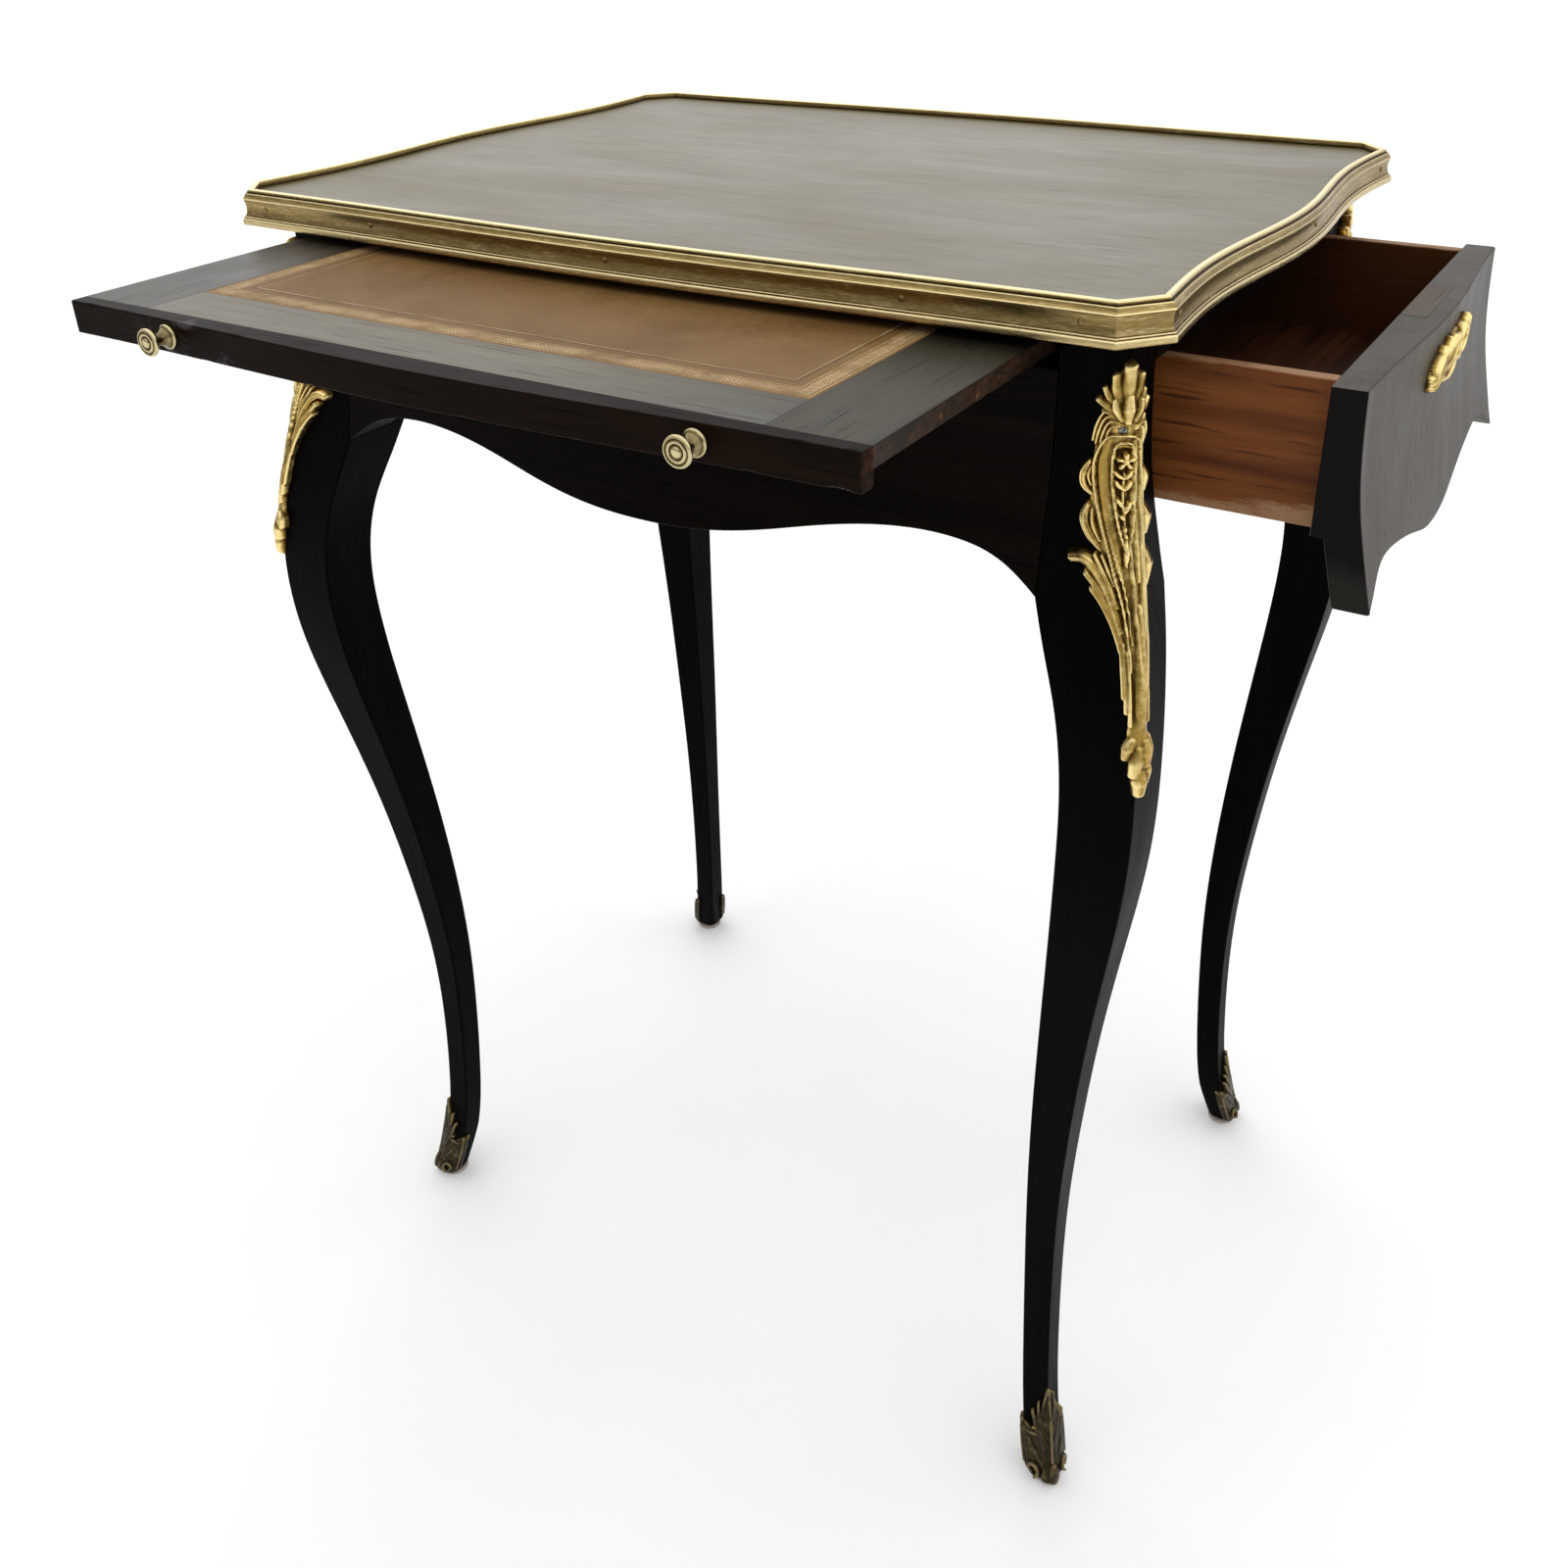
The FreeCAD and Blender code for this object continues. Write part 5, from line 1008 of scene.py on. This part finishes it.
four_castings("corner_mount", mount, mount_reach, GILT)
SCREW_DOME = [(-4.0, 2.2), (0.0, 2.2), (0.5, 2.15), (1.0, 1.8), (1.3, 1.2), (1.42, 0.5),
              (1.42, 0.02)]
SLOT_HALF, SLOT_FLOOR, SLOT_DEEP = 0.42, 0.45, 0.9


def slotted_screw(start, direction):
    """Rings of a domed head whose middle is cut by a straight slot."""
    rings = lathe_rings(SCREW_DOME, start, direction, 32)
    axis = np.asarray(direction, float) / np.linalg.norm(direction)
    side = np.cross(axis, (0.3, 0.2, 1))
    side /= np.linalg.norm(side)
    across = np.abs((rings - start) @ side)
    high = (rings - start) @ axis
    sink = np.where((across < SLOT_HALF) & (high > SLOT_FLOOR), SLOT_DEEP, 0)
    return rings - axis * sink[..., None]


MOUNT_SCREWS = ((30.8, -1.5, 2.2), (159.0, 1.6, 2.6))
screw_groups = [slotted_screw(*standing(mount_reach, *spot, sx, sy))
                for _, _, sx, sy in FOUR for spot in MOUNT_SCREWS]
settle(several("mount_screws", screw_groups, STEEL), "table",
       "corner_mount_screws")

# Bronze shoe: u runs down from its tip, v round the leg from its outer arris. The pairs stand on
# both faces alike, and the heel's leaves round the side arrises.
SHOE = [
    ([(46.5, -22), (52, -12), (50, 0), (52, 12), (46.5, 22)], (15.6,) * 5, (2.3,) * 5, 0, 0, 0.2),
    ([(31.6, -21.4), (37.0, -12), (35.2, 0), (37.0, 12), (31.6, 21.4)], (0.9,) * 5, (2.9,) * 5),
]
SHOE_LEAVES = [
    ([(50, 0), (34, 0), (18, 0.2), (1.6, 0.3)], (6.0, 7.4, 5.0, 1.3), (3.4, 3.4, 3.2, 2.9),
     3, 0.6, 0.45),
    ([(42, -2), (30, -6), (21, -9.4)], (3.4, 3.6, 1.5), (3.6, 4.2, 3.6), 2),
    ([(42, 2), (30, 6), (20, 9.2)], (3.4, 3.6, 1.5), (3.6, 4.6, 4.4), 2),
    ([(44, 4), (34, 9), (25, 12.8)], (3.0, 3.0, 1.4), (3.4, 4.8, 4.6), 2),
    ([(24, 1.0), (14, 2.4), (4.6, 3.0)], (1.4, 1.8, 1.0), (3.6, 3.8, 3.2)),
    ([(52, 0.4), (34, 0.4), (8, 0.3)], (1.2, 1.0, 0.6), (4.8, 4.4, 3.6)),
    ([(67, 0), (61, 0), (55, 0)], (7.0, 7.0, 4.0), (3.6, 4.2, 3.4), 0, 0, 0.4),
    ([(65, 0.6), (60, 0.6), (55, 0.6)], (3.2, 3.4, 2.2), (5.4, 6.0, 5.0), 0, 0, 0.4),
]
SHOE_PAIRS = [
    ([(36, 1.6), (24, 4.4), (13, 5.4)], (2.4, 2.8, 1.1), (3.6, 3.8, 3.2), 2, 0.4),
    ([(56, 5), (47, 10), (41, 13)], (1.6, 2.0, 1.0), (3.0, 3.6, 3.2), 2),
    ([(65, 10.5), (60, 7.8), (57, 10.7), (59.6, 13.7), (62.6, 12.2)], (1.2, 1.5, 1.5, 1.3, 1.0),
     (4.6, 5.0, 4.8, 4.4, 4.0)),
]
HEEL = [
    ([(62, 0), (52, 0), (42, 0), (32.4, 0)], (4.0, 4.6, 3.6, 1.2), (3.0, 3.4, 3.4, 3.0),
     3, 0.6, 0.45),
    ([(60, 0), (48, 0), (36, 0)], (0.9, 0.9, 0.6), (4.2, 4.2, 3.6)),
]
SHOE_SIDE, SHOE_REACH = 17.6, 21.4


def shoe_reach(u, v, rise):
    """Points of the shoe; under the leg's foot it keeps the foot's outline."""
    z = np.maximum(SABOT_TOP - u, GLIDE_HIGH)
    on_leg = np.maximum(z, LEG_FOOT)
    points = leg_skin(on_leg, v / SHOE_SIDE * leg_side(on_leg), rise,
                      foot_radius(z, SHOE_ROUNDING))
    points[..., 2] = z
    return points


shoe = Relief((-1, 67), (-SHOE_REACH, SHOE_REACH), 0.4)
shoe.strokes(SHOE)
shoe.strokes(SHOE_LEAVES)
for hand in (-1, 1):
    for line, *rest in SHOE_PAIRS:
        shoe.stroke([(u, v * hand) for u, v in line], *rest)
    for line, *rest in HEEL:
        shoe.stroke([(u, v + SHOE_SIDE * hand) for u, v in line], *rest)
four_castings("sabot", shoe, shoe_reach, SHOE_BRONZE)


def shoe_pin_reach(z, v, rise):
    return leg_skin(z, v, rise, SHOE_ROUNDING)


SHOE_PIN = (38.0, -9.0, 2.4)
SHOE_PIN_DOME = [(-3, 1.0), (0, 1.3), (0.5, 1.2), (0.9, 0.7), (1.0, 0.02)]
pin_groups = [lathe_rings(SHOE_PIN_DOME, *standing(shoe_pin_reach, *SHOE_PIN, sx, sy), 20)
              for _, _, sx, sy in FOUR]
settle(several("shoe_pins", pin_groups, PIN_BRASS), "table", "sabot_pins")
GLIDE_PROFILE = [(0.0, 9.3), (0.0, 9.6), (0.4, GLIDE_RADIUS), (2.6, GLIDE_RADIUS), (3.0, 9.6),
                 (3.0, 9.2)]
pads = [lathe_rings(GLIDE_PROFILE, (sx * GLIDE_X, sy * GLIDE_Y, 0), (0, 0, 1), 40)
        for _, _, sx, sy in FOUR]
settle(several("foot_pads", pads, GLIDE), "table", "foot_glides")

# Gilt mount on the drawer front: u runs along +Y, v up
PULL = [
    ([(-44, -6), (-20, -3), (10, 1), (40, 6)], (9, 12, 10, 8), (2.6, 2.8, 2.6, 2.4), 0, 0, 0.3),
    ([(-48, -8), (-38, -3), (-24, -2)], (7, 11, 8), (5.6, 6.0, 4.0), 5, 0.7, 0.4),
    ([(-49, -13), (-50.5, -5), (-44, 4.5), (-34, 7.5)], (1.2, 1.4, 1.4, 1.0), (4.4, 5.4, 5.6, 5.2)),
    ([(-36, 5), (-29, 10), (-24, 8)], (1.8, 2.6, 1.4), (4.6, 6.2, 5.4)),
    ([(-22, -2), (-17, 7), (-12, 13)], (2.4, 3.2, 1.2), (4.0, 5.4, 5.4), 2, 0.8),
    ([(-12, -1), (-6, 7), (0, 12)], (2.4, 3.0, 1.2), (4.0, 5.4, 5.2), 2, 0.8),
    ([(-30, -12), (-16, -12.5), (0, -9), (12, -5)], (1.2, 1.5, 1.5, 1.0), (4.2, 5.6, 5.6, 4.6)),
    ([(-22, -7), (-8, -6), (4, -2), (12, 4)], (2.0, 3.0, 2.6, 1.4), (4.4, 5.6, 5.4, 4.8), 2, 0.8),
    ([(4, 3), (10, 8), (16, 9)], (1.6, 2.4, 1.4), (4.4, 5.4, 4.8), 2, 0.6),
    ([(27, -5.6), (19, -3), (17, 5), (24, 11.5), (33, 12), (38, 5), (35, -2.4), (27, -5.6)],
     (1.3,) * 8, (5.4,) * 8),
    ([(14, -8), (24, -9.5), (34, -7)], (1.4, 2.0, 1.2), (4.0, 5.0, 4.4), 2, 0.6),
    ([(37, 7), (43, 9), (49, 13)], (2.0, 3.4, 1.4), (4.2, 5.4, 5.0), 2, 0.7),
    ([(38, 4), (45, 4), (52, 6)], (2.0, 3.2, 1.2), (4.2, 5.2, 4.8), 2, 0.7),
    ([(37, 1), (43, -1), (48, -1)], (1.8, 2.6, 1.2), (4.0, 4.8, 4.4), 2, 0.6),
    ([(36, 10), (40, 13.5), (43, 16)], (1.6, 2.4, 1.2), (4.0, 5.0, 4.6), 2, 0.6),
]
pull = Relief((-54, 55), (-18, 20), 0.4)
pull.strokes(PULL)
pull.stroke([(23, 0.5), (28, 5.5), (30, 8)], (5.2, 6.0, 4.0), (2.4, 2.6, 2.2), 0, 0, 0.4, True)
pull.stroke([(-33, -5), (-28, -3)], (3.4, 3.4), (3.0, 2.6), 0, 0, 0.4, True)


def pull_reach(u, v, rise):
    along = PULL_Y + u * PULL_SCALE
    height = PULL_Z + v * PULL_SCALE
    bow = bulge(DRAWER_BOW, along / FRONT_HALF, height, BOW_FADE, DRAWER_KICK)
    return np.stack([POST_X + DRAWER_OUT + outer(height) + bow + rise, along, height], -1)


settle(carve("drawer_pull_casting", pull, pull_reach, GILT), "drawer",
       "drawer_pull")
PULL_PINS = ((-40, -4.5, 4.6), (40, 4.5, 4.6))
PULL_PIN_DOME = [(-3, 1.0), (0, 1.6), (0.4, 1.5), (0.8, 1.0), (0.9, 0.02)]
pin_groups = [lathe_rings(PULL_PIN_DOME, pull_reach(*spot), (1, 0, 0), 20) for spot in PULL_PINS]
settle(several("pull_pins", pin_groups, PIN_BRASS), "drawer", "drawer_pull_pins")

# Writing slide
def rail_face(x):
    return -POST_Y - RAIL_BOW * swell((x / SLIDE_HALF + 1) / 2) - SLIDE_OUT


# Chips in the edging's front arrises: (place along, reach along, depth, 1 top or 0 bottom)
CHIPS = ((-196, 5, 1.0, 1), (-171, 3, 0.8, 1), (-120, 4, 0.6, 0), (-96, 6, 0.9, 1),
         (-52, 3, 0.7, 0), (-20, 4, 0.6, 1), (34, 5, 0.8, 0), (71, 3, 0.6, 1), (118, 5, 0.9, 1),
         (166, 4, 1.0, 0), (188, 5, 1.2, 1), (203, 6, 2.0, 0), (209, 4, 1.6, 1))


def edging_rings():
    rings = []
    for x in np.concatenate([[-SLIDE_HALF, -SLIDE_HALF + 0.4], np.arange(-211, 211.5, 0.8),
                             [SLIDE_HALF - 0.4, SLIDE_HALF]]):
        end = 0.5 if abs(x) > SLIDE_HALF - 0.1 else 0.0
        wear = [0.9, 0.8]
        for place, reach, depth, top in CHIPS:
            nearness = max(0.0, 1 - ((x - place) / reach) ** 2)
            wear[top] += depth * nearness * (1 + 0.4 * math.sin(5 * x))
        low_wear, top_wear = wear
        front = float(rail_face(x)) + end
        corners = [(LIP_BACK, LIP_BOTTOM + end), (front, LIP_BOTTOM + end),
                   (front, SLIDE_TOP - end * 0.4), (LIP_BACK, SLIDE_TOP - end * 0.4)]
        section = rounded(corners, (0.3, low_wear, top_wear, 0.1), 5)
        rings.append([(x, y, z) for y, z in section])
    return rings


settle(loft("slide_edging", edging_rings(), EDGING, smooth_angle=50), "writing_slide",
       "slide_front_edging")
for side, low, material in (("left", -SLIDE_HALF, SLIDE_LEFT),
                            ("right", SLIDE_HALF - STILE, SLIDE_RIGHT)):
    board = loft(f"slide_{side}_board",
                 box_rings((low, LIP_BACK, SLIDE_BOTTOM), (low + STILE, SLIDE_BACK, SLIDE_TOP),
                           radius=0.35, axis=1, stations=40), material)
    settle(board, "writing_slide", f"slide_stile_{side}")
board = loft("slide_front_board",
             box_rings((-SLIDE_HALF + STILE, LIP_BACK, SLIDE_BOTTOM),
                       (SLIDE_HALF - STILE, LIP_BACK + FRONT_RAIL, SLIDE_TOP),
                       radius=0.15, axis=0, stations=30), SLIDE_WOOD)
settle(board, "writing_slide", "slide_front_rail")

LEATHER_X, LEATHER_FRONT, LEATHER_BACK = 168.0, -296.0, -79.5
LEATHER_THICK = 0.8
# Tooled border: distances from the leather's edge
ROPE_IN, ROPE_OUT, ROPE_PITCH, ROPE_DEEP = 9.5 * MM, 3.0 * MM, 2.1 * MM, 3.4 * MM
GILT_LINES = ((1.6, 2.2), (10.4, 10.9), (17.0, 17.5))
DARK_LINE = (15.4 * MM, 16.6 * MM)


def band(f, value, low, high, soft=0.0001):
    """1 between low and high, 0 outside."""
    rising = f.remap(value, low - soft, low + soft)
    falling = f.remap(value, high - soft, high + soft, 1.0, 0.0)
    return f.times(rising, falling)


def tooled_leather():
    """Brown leather with pressed lines, a gilt rope border and a pebbled grain."""
    f = Finish("writing_leather", Specular_IOR_Level=0.1)
    x, y, _ = f.parts()
    side_gap = f.minus(LEATHER_X * MM, f.math("ABSOLUTE", x))
    front_gap = f.minus(y, LEATHER_FRONT * MM)
    back_gap = f.minus(LEATHER_BACK * MM, y)
    edge_gap = f.math("MINIMUM", side_gap, f.math("MINIMUM", front_gap, back_gap))
    zigzag = f.math("PINGPONG", f.times(edge_gap, 2.0), ROPE_DEEP)
    slant = f.plus(f.plus(x, y), zigzag)
    rope = f.math("PINGPONG", f.math("DIVIDE", slant, ROPE_PITCH), 0.5)
    rope = f.times(f.remap(rope, 0.16, 0.30), band(f, edge_gap, ROPE_OUT, ROPE_IN))
    pressed = rope
    for low, high in GILT_LINES:
        pressed = f.math("MAXIMUM", pressed, band(f, edge_gap, low * MM, high * MM))
    dark_line = band(f, edge_gap, *DARK_LINE, 0.0003)
    rubbed = f.remap(f.noise(70, (1, 1, 1), 6, 0.7), 0.36, 0.6, 0.25, 1.0)
    pebble = f.cells(900)
    crease = f.noise(240, (1, 1, 1), 6, 0.65, 0.4)
    cloud = f.noise(11, (1, 1, 1), 5, 0.6, 0.6)
    colour = f.ramp(f.math("MULTIPLY_ADD", cloud, 0.7, f.times(crease, 0.3)),
                    (0.36, (0.132, 0.068, 0.020)), (0.52, (0.184, 0.102, 0.034)),
                    (0.68, (0.238, 0.140, 0.056)))
    colour = f.mix(f.times(dark_line, 0.6), colour, (0.06, 0.032, 0.018))
    colour = f.mix(f.times(pressed, rubbed), colour, (0.62, 0.44, 0.23))
    height = f.minus(f.times(f.remap(pebble, 0.0, 0.6), 0.6), pressed)
    return f.finish(colour, f.remap(crease, 0.35, 0.7, 0.42, 0.62),
                    f.bump((cloud, 0.0006), (height, 0.00014)))


LEATHER = tooled_leather()


def leather_sheet():
    """The tooled leather: a thin sheet whose border lines are pressed in."""
    gaps = [0.0, 0.3, 1.5, 1.7, 2.1, 2.4, 3.0, 6.0, 9.4, 10.3, 10.6, 11.0, 15.3, 15.9, 16.6, 18.0]
    sinks = [0.25, 0.0, 0.0, 0.12, 0.12, 0.0, 0.05, 0.0, 0.05, 0.0, 0.1, 0.0, 0.0, 0.12, 0.0, 0.0]
    width = 2 * LEATHER_X
    depth = LEATHER_BACK - LEATHER_FRONT
    xs = gaps + list(np.linspace(22, width - 22, 70)) + [width - g for g in gaps[::-1]]
    ys = gaps + list(np.linspace(22, depth - 22, 44)) + [depth - g for g in gaps[::-1]]
    grid_x, grid_y = np.meshgrid(xs, ys, indexing="ij")
    gap = np.minimum(np.minimum(grid_x, width - grid_x), np.minimum(grid_y, depth - grid_y))
    waves = 0.05 * np.sin(grid_x / 31) * np.sin(grid_y / 23) * np.clip((gap - 18) / 20, 0, 1)
    top = SLIDE_TOP - np.interp(gap, gaps, sinks) + np.minimum(waves, 0)
    points = np.stack([grid_x - LEATHER_X, grid_y + LEATHER_FRONT, top], -1)
    bottom = points.copy()
    bottom[..., 2] = SLIDE_TOP - LEATHER_THICK
    rows, columns = top.shape
    count = rows * columns
    number = np.arange(count).reshape(rows, columns)
    quads = np.stack([number[:-1, :-1], number[1:, :-1], number[1:, 1:], number[:-1, 1:]],
                     -1).reshape(-1, 4)
    faces = quads.tolist() + (quads[:, ::-1] + count).tolist()
    rim = np.concatenate([number[:, 0], number[-1, 1:], number[-2::-1, -1], number[0, -2:0:-1]])
    follow = np.roll(rim, -1)
    faces += np.stack([follow, rim, rim + count, follow + count], 1).tolist()
    return np.concatenate([points.reshape(-1, 3), bottom.reshape(-1, 3)]), faces


points, faces = leather_sheet()
sheet = build("writing_leather_sheet", points, faces, LEATHER, smooth_angle=40)
settle(sheet, "writing_slide", "slide_leather")

KNOB_PROFILE = [(0.0, 5.7, 0.5), (0.7, 5.7, 0.8), (1.3, 5.45, 0.9), (1.6, 4.9, 0.5),
                (2.0, 4.5, 0.1), (2.3, 4.3, 0.5), (2.9, 3.9, 0.6), (3.6, 3.3, 0.5),
                (4.6, 2.85, 0.3), (6.0, 2.75, 0.3), (7.2, 2.95, 0.3), (8.2, 3.5, 0.4),
                (9.0, 4.3, 0.5), (9.4, 5.2, 0.3), (9.7, 5.5, 0.1), (9.9, 6.0, 0.6),
                (10.3, 6.3, 0.9), (10.9, 6.35, 1.0), (11.4, 6.2, 0.9), (11.75, 5.75, 0.9),
                (11.7, 5.2, 0.4), (11.45, 4.9, 0.0), (11.55, 4.5, 0.2), (11.95, 4.1, 0.9),
                (12.0, 3.5, 0.9), (11.7, 3.1, 0.3), (11.5, 2.8, 0.0), (11.6, 2.4, 0.2),
                (12.2, 2.0, 0.8), (12.5, 1.3, 1.0), (12.6, 0.6, 1.0), (12.6, 0.02, 1.0)]
KNOB_SIDES = 64
for side, sx in (("left", -1), ("right", 1)):
    start = (sx * KNOB_X, float(rail_face(sx * KNOB_X)), KNOB_Z)
    rings = lathe_rings([(a, r) for a, r, _ in KNOB_PROFILE], start, (0, -1, 0),
                        KNOB_SIDES)
    level = np.repeat([bright for _, _, bright in KNOB_PROFILE], KNOB_SIDES)
    knob = loft(f"slide_knob_{side}_turned", rings, KNOB_BRASS, smooth_angle=60, weighted=False,
                relief=level)
    settle(knob, "writing_slide", f"slide_knob_{side}")

# Drawer box
for end, sy in (("front", -1), ("rear", 1)):
    low, high = sorted((sy * DRAWER_HALF, sy * (DRAWER_HALF - DRAWER_WALL)))
    side = loft(f"drawer_side_{end}_board",
                box_rings((DRAWER_BACK_X, low, DRAWER_FOOT), (DRAWER_FRONT_BACK, high, DRAWER_TOP),
                          radius=0.9, axis=0, stations=60), DRAWER_WOOD)
    settle(side, "drawer", f"drawer_side_{end}")

patch = loft("lock_patch_strip",
             box_rings((DRAWER_FRONT_BACK, PATCH_Y - PATCH_LONG / 2, DRAWER_TOP - PATCH_DEEP),
                       (DRAWER_FRONT_BACK + PATCH_WIDE, PATCH_Y + PATCH_LONG / 2,
                        DRAWER_TOP + PATCH_PROUD), radius=0.3, axis=1, stations=6), PATCH_WOOD)
settle(patch, "drawer", "lock_patch")

# Nodes of the frame that are shown as they are, under a new material
CARRIED = ((TOP, "top_panel"), (SLIDE_WOOD, "slide_rear_rail"), (DRAWER_END_SHADED, "drawer_back"),
           (DRAWER_FLOOR_SHADED, "drawer_bottom"), (APRON_WOOD, "drawer_top_rail"),
           (STEEL, "top_screws"),
           (OAK, "drawer_blade slide_stop_pins glue_blocks slide_bearer_left "
                 "slide_bearer_right slide_guide_left slide_guide_right"),
           (OAK_ACROSS, "slide_core drawer_runner_front drawer_runner_rear "
                        "drawer_kicker_front drawer_kicker_rear"))
for material, nodes in CARRIED:
    for node in nodes.split():
        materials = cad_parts[node].data.materials
        materials.clear()
        materials.append(material)

# Floor, light and camera
floor_finish = Finish("studio_floor", Specular_IOR_Level=0.1)
floor_cloud = floor_finish.noise(3, (1, 1, 1), 3, 0.5)
FLOOR = floor_finish.finish(floor_finish.ramp(floor_cloud, (0.3, (0.93, 0.93, 0.93)),
                                              (0.7, (0.96, 0.96, 0.96))),
                            floor_finish.remap(floor_cloud, 0.3, 0.7, 0.8, 0.9))
FLOOR_REACH = 30000.0
floor_corners = [(x * FLOOR_REACH, y * FLOOR_REACH, 0)
                 for x, y in ((-1, -1), (1, -1), (1, 1), (-1, 1))]
floor = build("studio_floor", floor_corners, [(0, 1, 2, 3)], FLOOR, smooth_angle=0,
              weighted=False)

# Soft panels of the studio: direction, cosine where each starts and is full, brightness
SKY_BASE = 0.42
SKY_PANELS = (((0.0, 0.0, 1.0), 0.25, 0.8, 0.85), ((1.0, 0.25, 0.15), 0.55, 0.9, 0.58),
              ((-0.75, 0.62, 0.22), 0.6, 0.93, 0.9), ((0.2, 1.0, 0.25), 0.75, 0.95, 0.25))
world = bpy.data.worlds.new("soft_studio")
bpy.context.scene.world = world
sky = Nodes(world, "BACKGROUND")
view_direction = sky.add("TexCoord", {}).outputs["Generated"]
levels = []
for direction, start, full, strength in SKY_PANELS:
    facing = sky.add("VectorMath", {0: view_direction, 1: Vector(direction).normalized()},
                     operation="DOT_PRODUCT").outputs["Value"]
    levels.append(sky.add("MapRange", {0: facing, 1: start, 2: full, 4: strength},
                          interpolation_type="SMOOTHSTEP").outputs[0])
glow = levels[0]
for level in levels[1:]:
    glow = sky.plus(glow, level)
sky.tree.links.new(sky.plus(glow, SKY_BASE), sky.shader.inputs["Color"])

CAMERA_PLACE = Vector((0.45446, -0.75811, 0.90760))
CAMERA_AIM = Vector((-0.0077982, -0.0051642, 0.428))
CAMERA_ROLL = -0.0200
CAMERA_LENS, CAMERA_SHIFT = 34.928, (-0.02423, -0.07475)
camera = bpy.data.objects.new("photo_camera", bpy.data.cameras.new("photo_camera"))
bpy.context.scene.collection.objects.link(camera)
ahead = (CAMERA_AIM - CAMERA_PLACE).normalized()
right = ahead.cross(Vector((0, 0, 1))).normalized()
up = right.cross(ahead)
level_right = right * math.cos(CAMERA_ROLL) + up * math.sin(CAMERA_ROLL)
level_up = up * math.cos(CAMERA_ROLL) - right * math.sin(CAMERA_ROLL)
turn = Matrix((level_right, level_up, -ahead)).transposed()
camera.matrix_world = Matrix.Translation(CAMERA_PLACE) @ turn.to_4x4()
camera.data.sensor_width = 36.0
camera.data.lens = CAMERA_LENS
camera.data.shift_x, camera.data.shift_y = CAMERA_SHIFT
camera.data.clip_end = 100.0
bpy.context.scene.camera = camera
bpy.context.scene.view_settings.view_transform = "Standard"
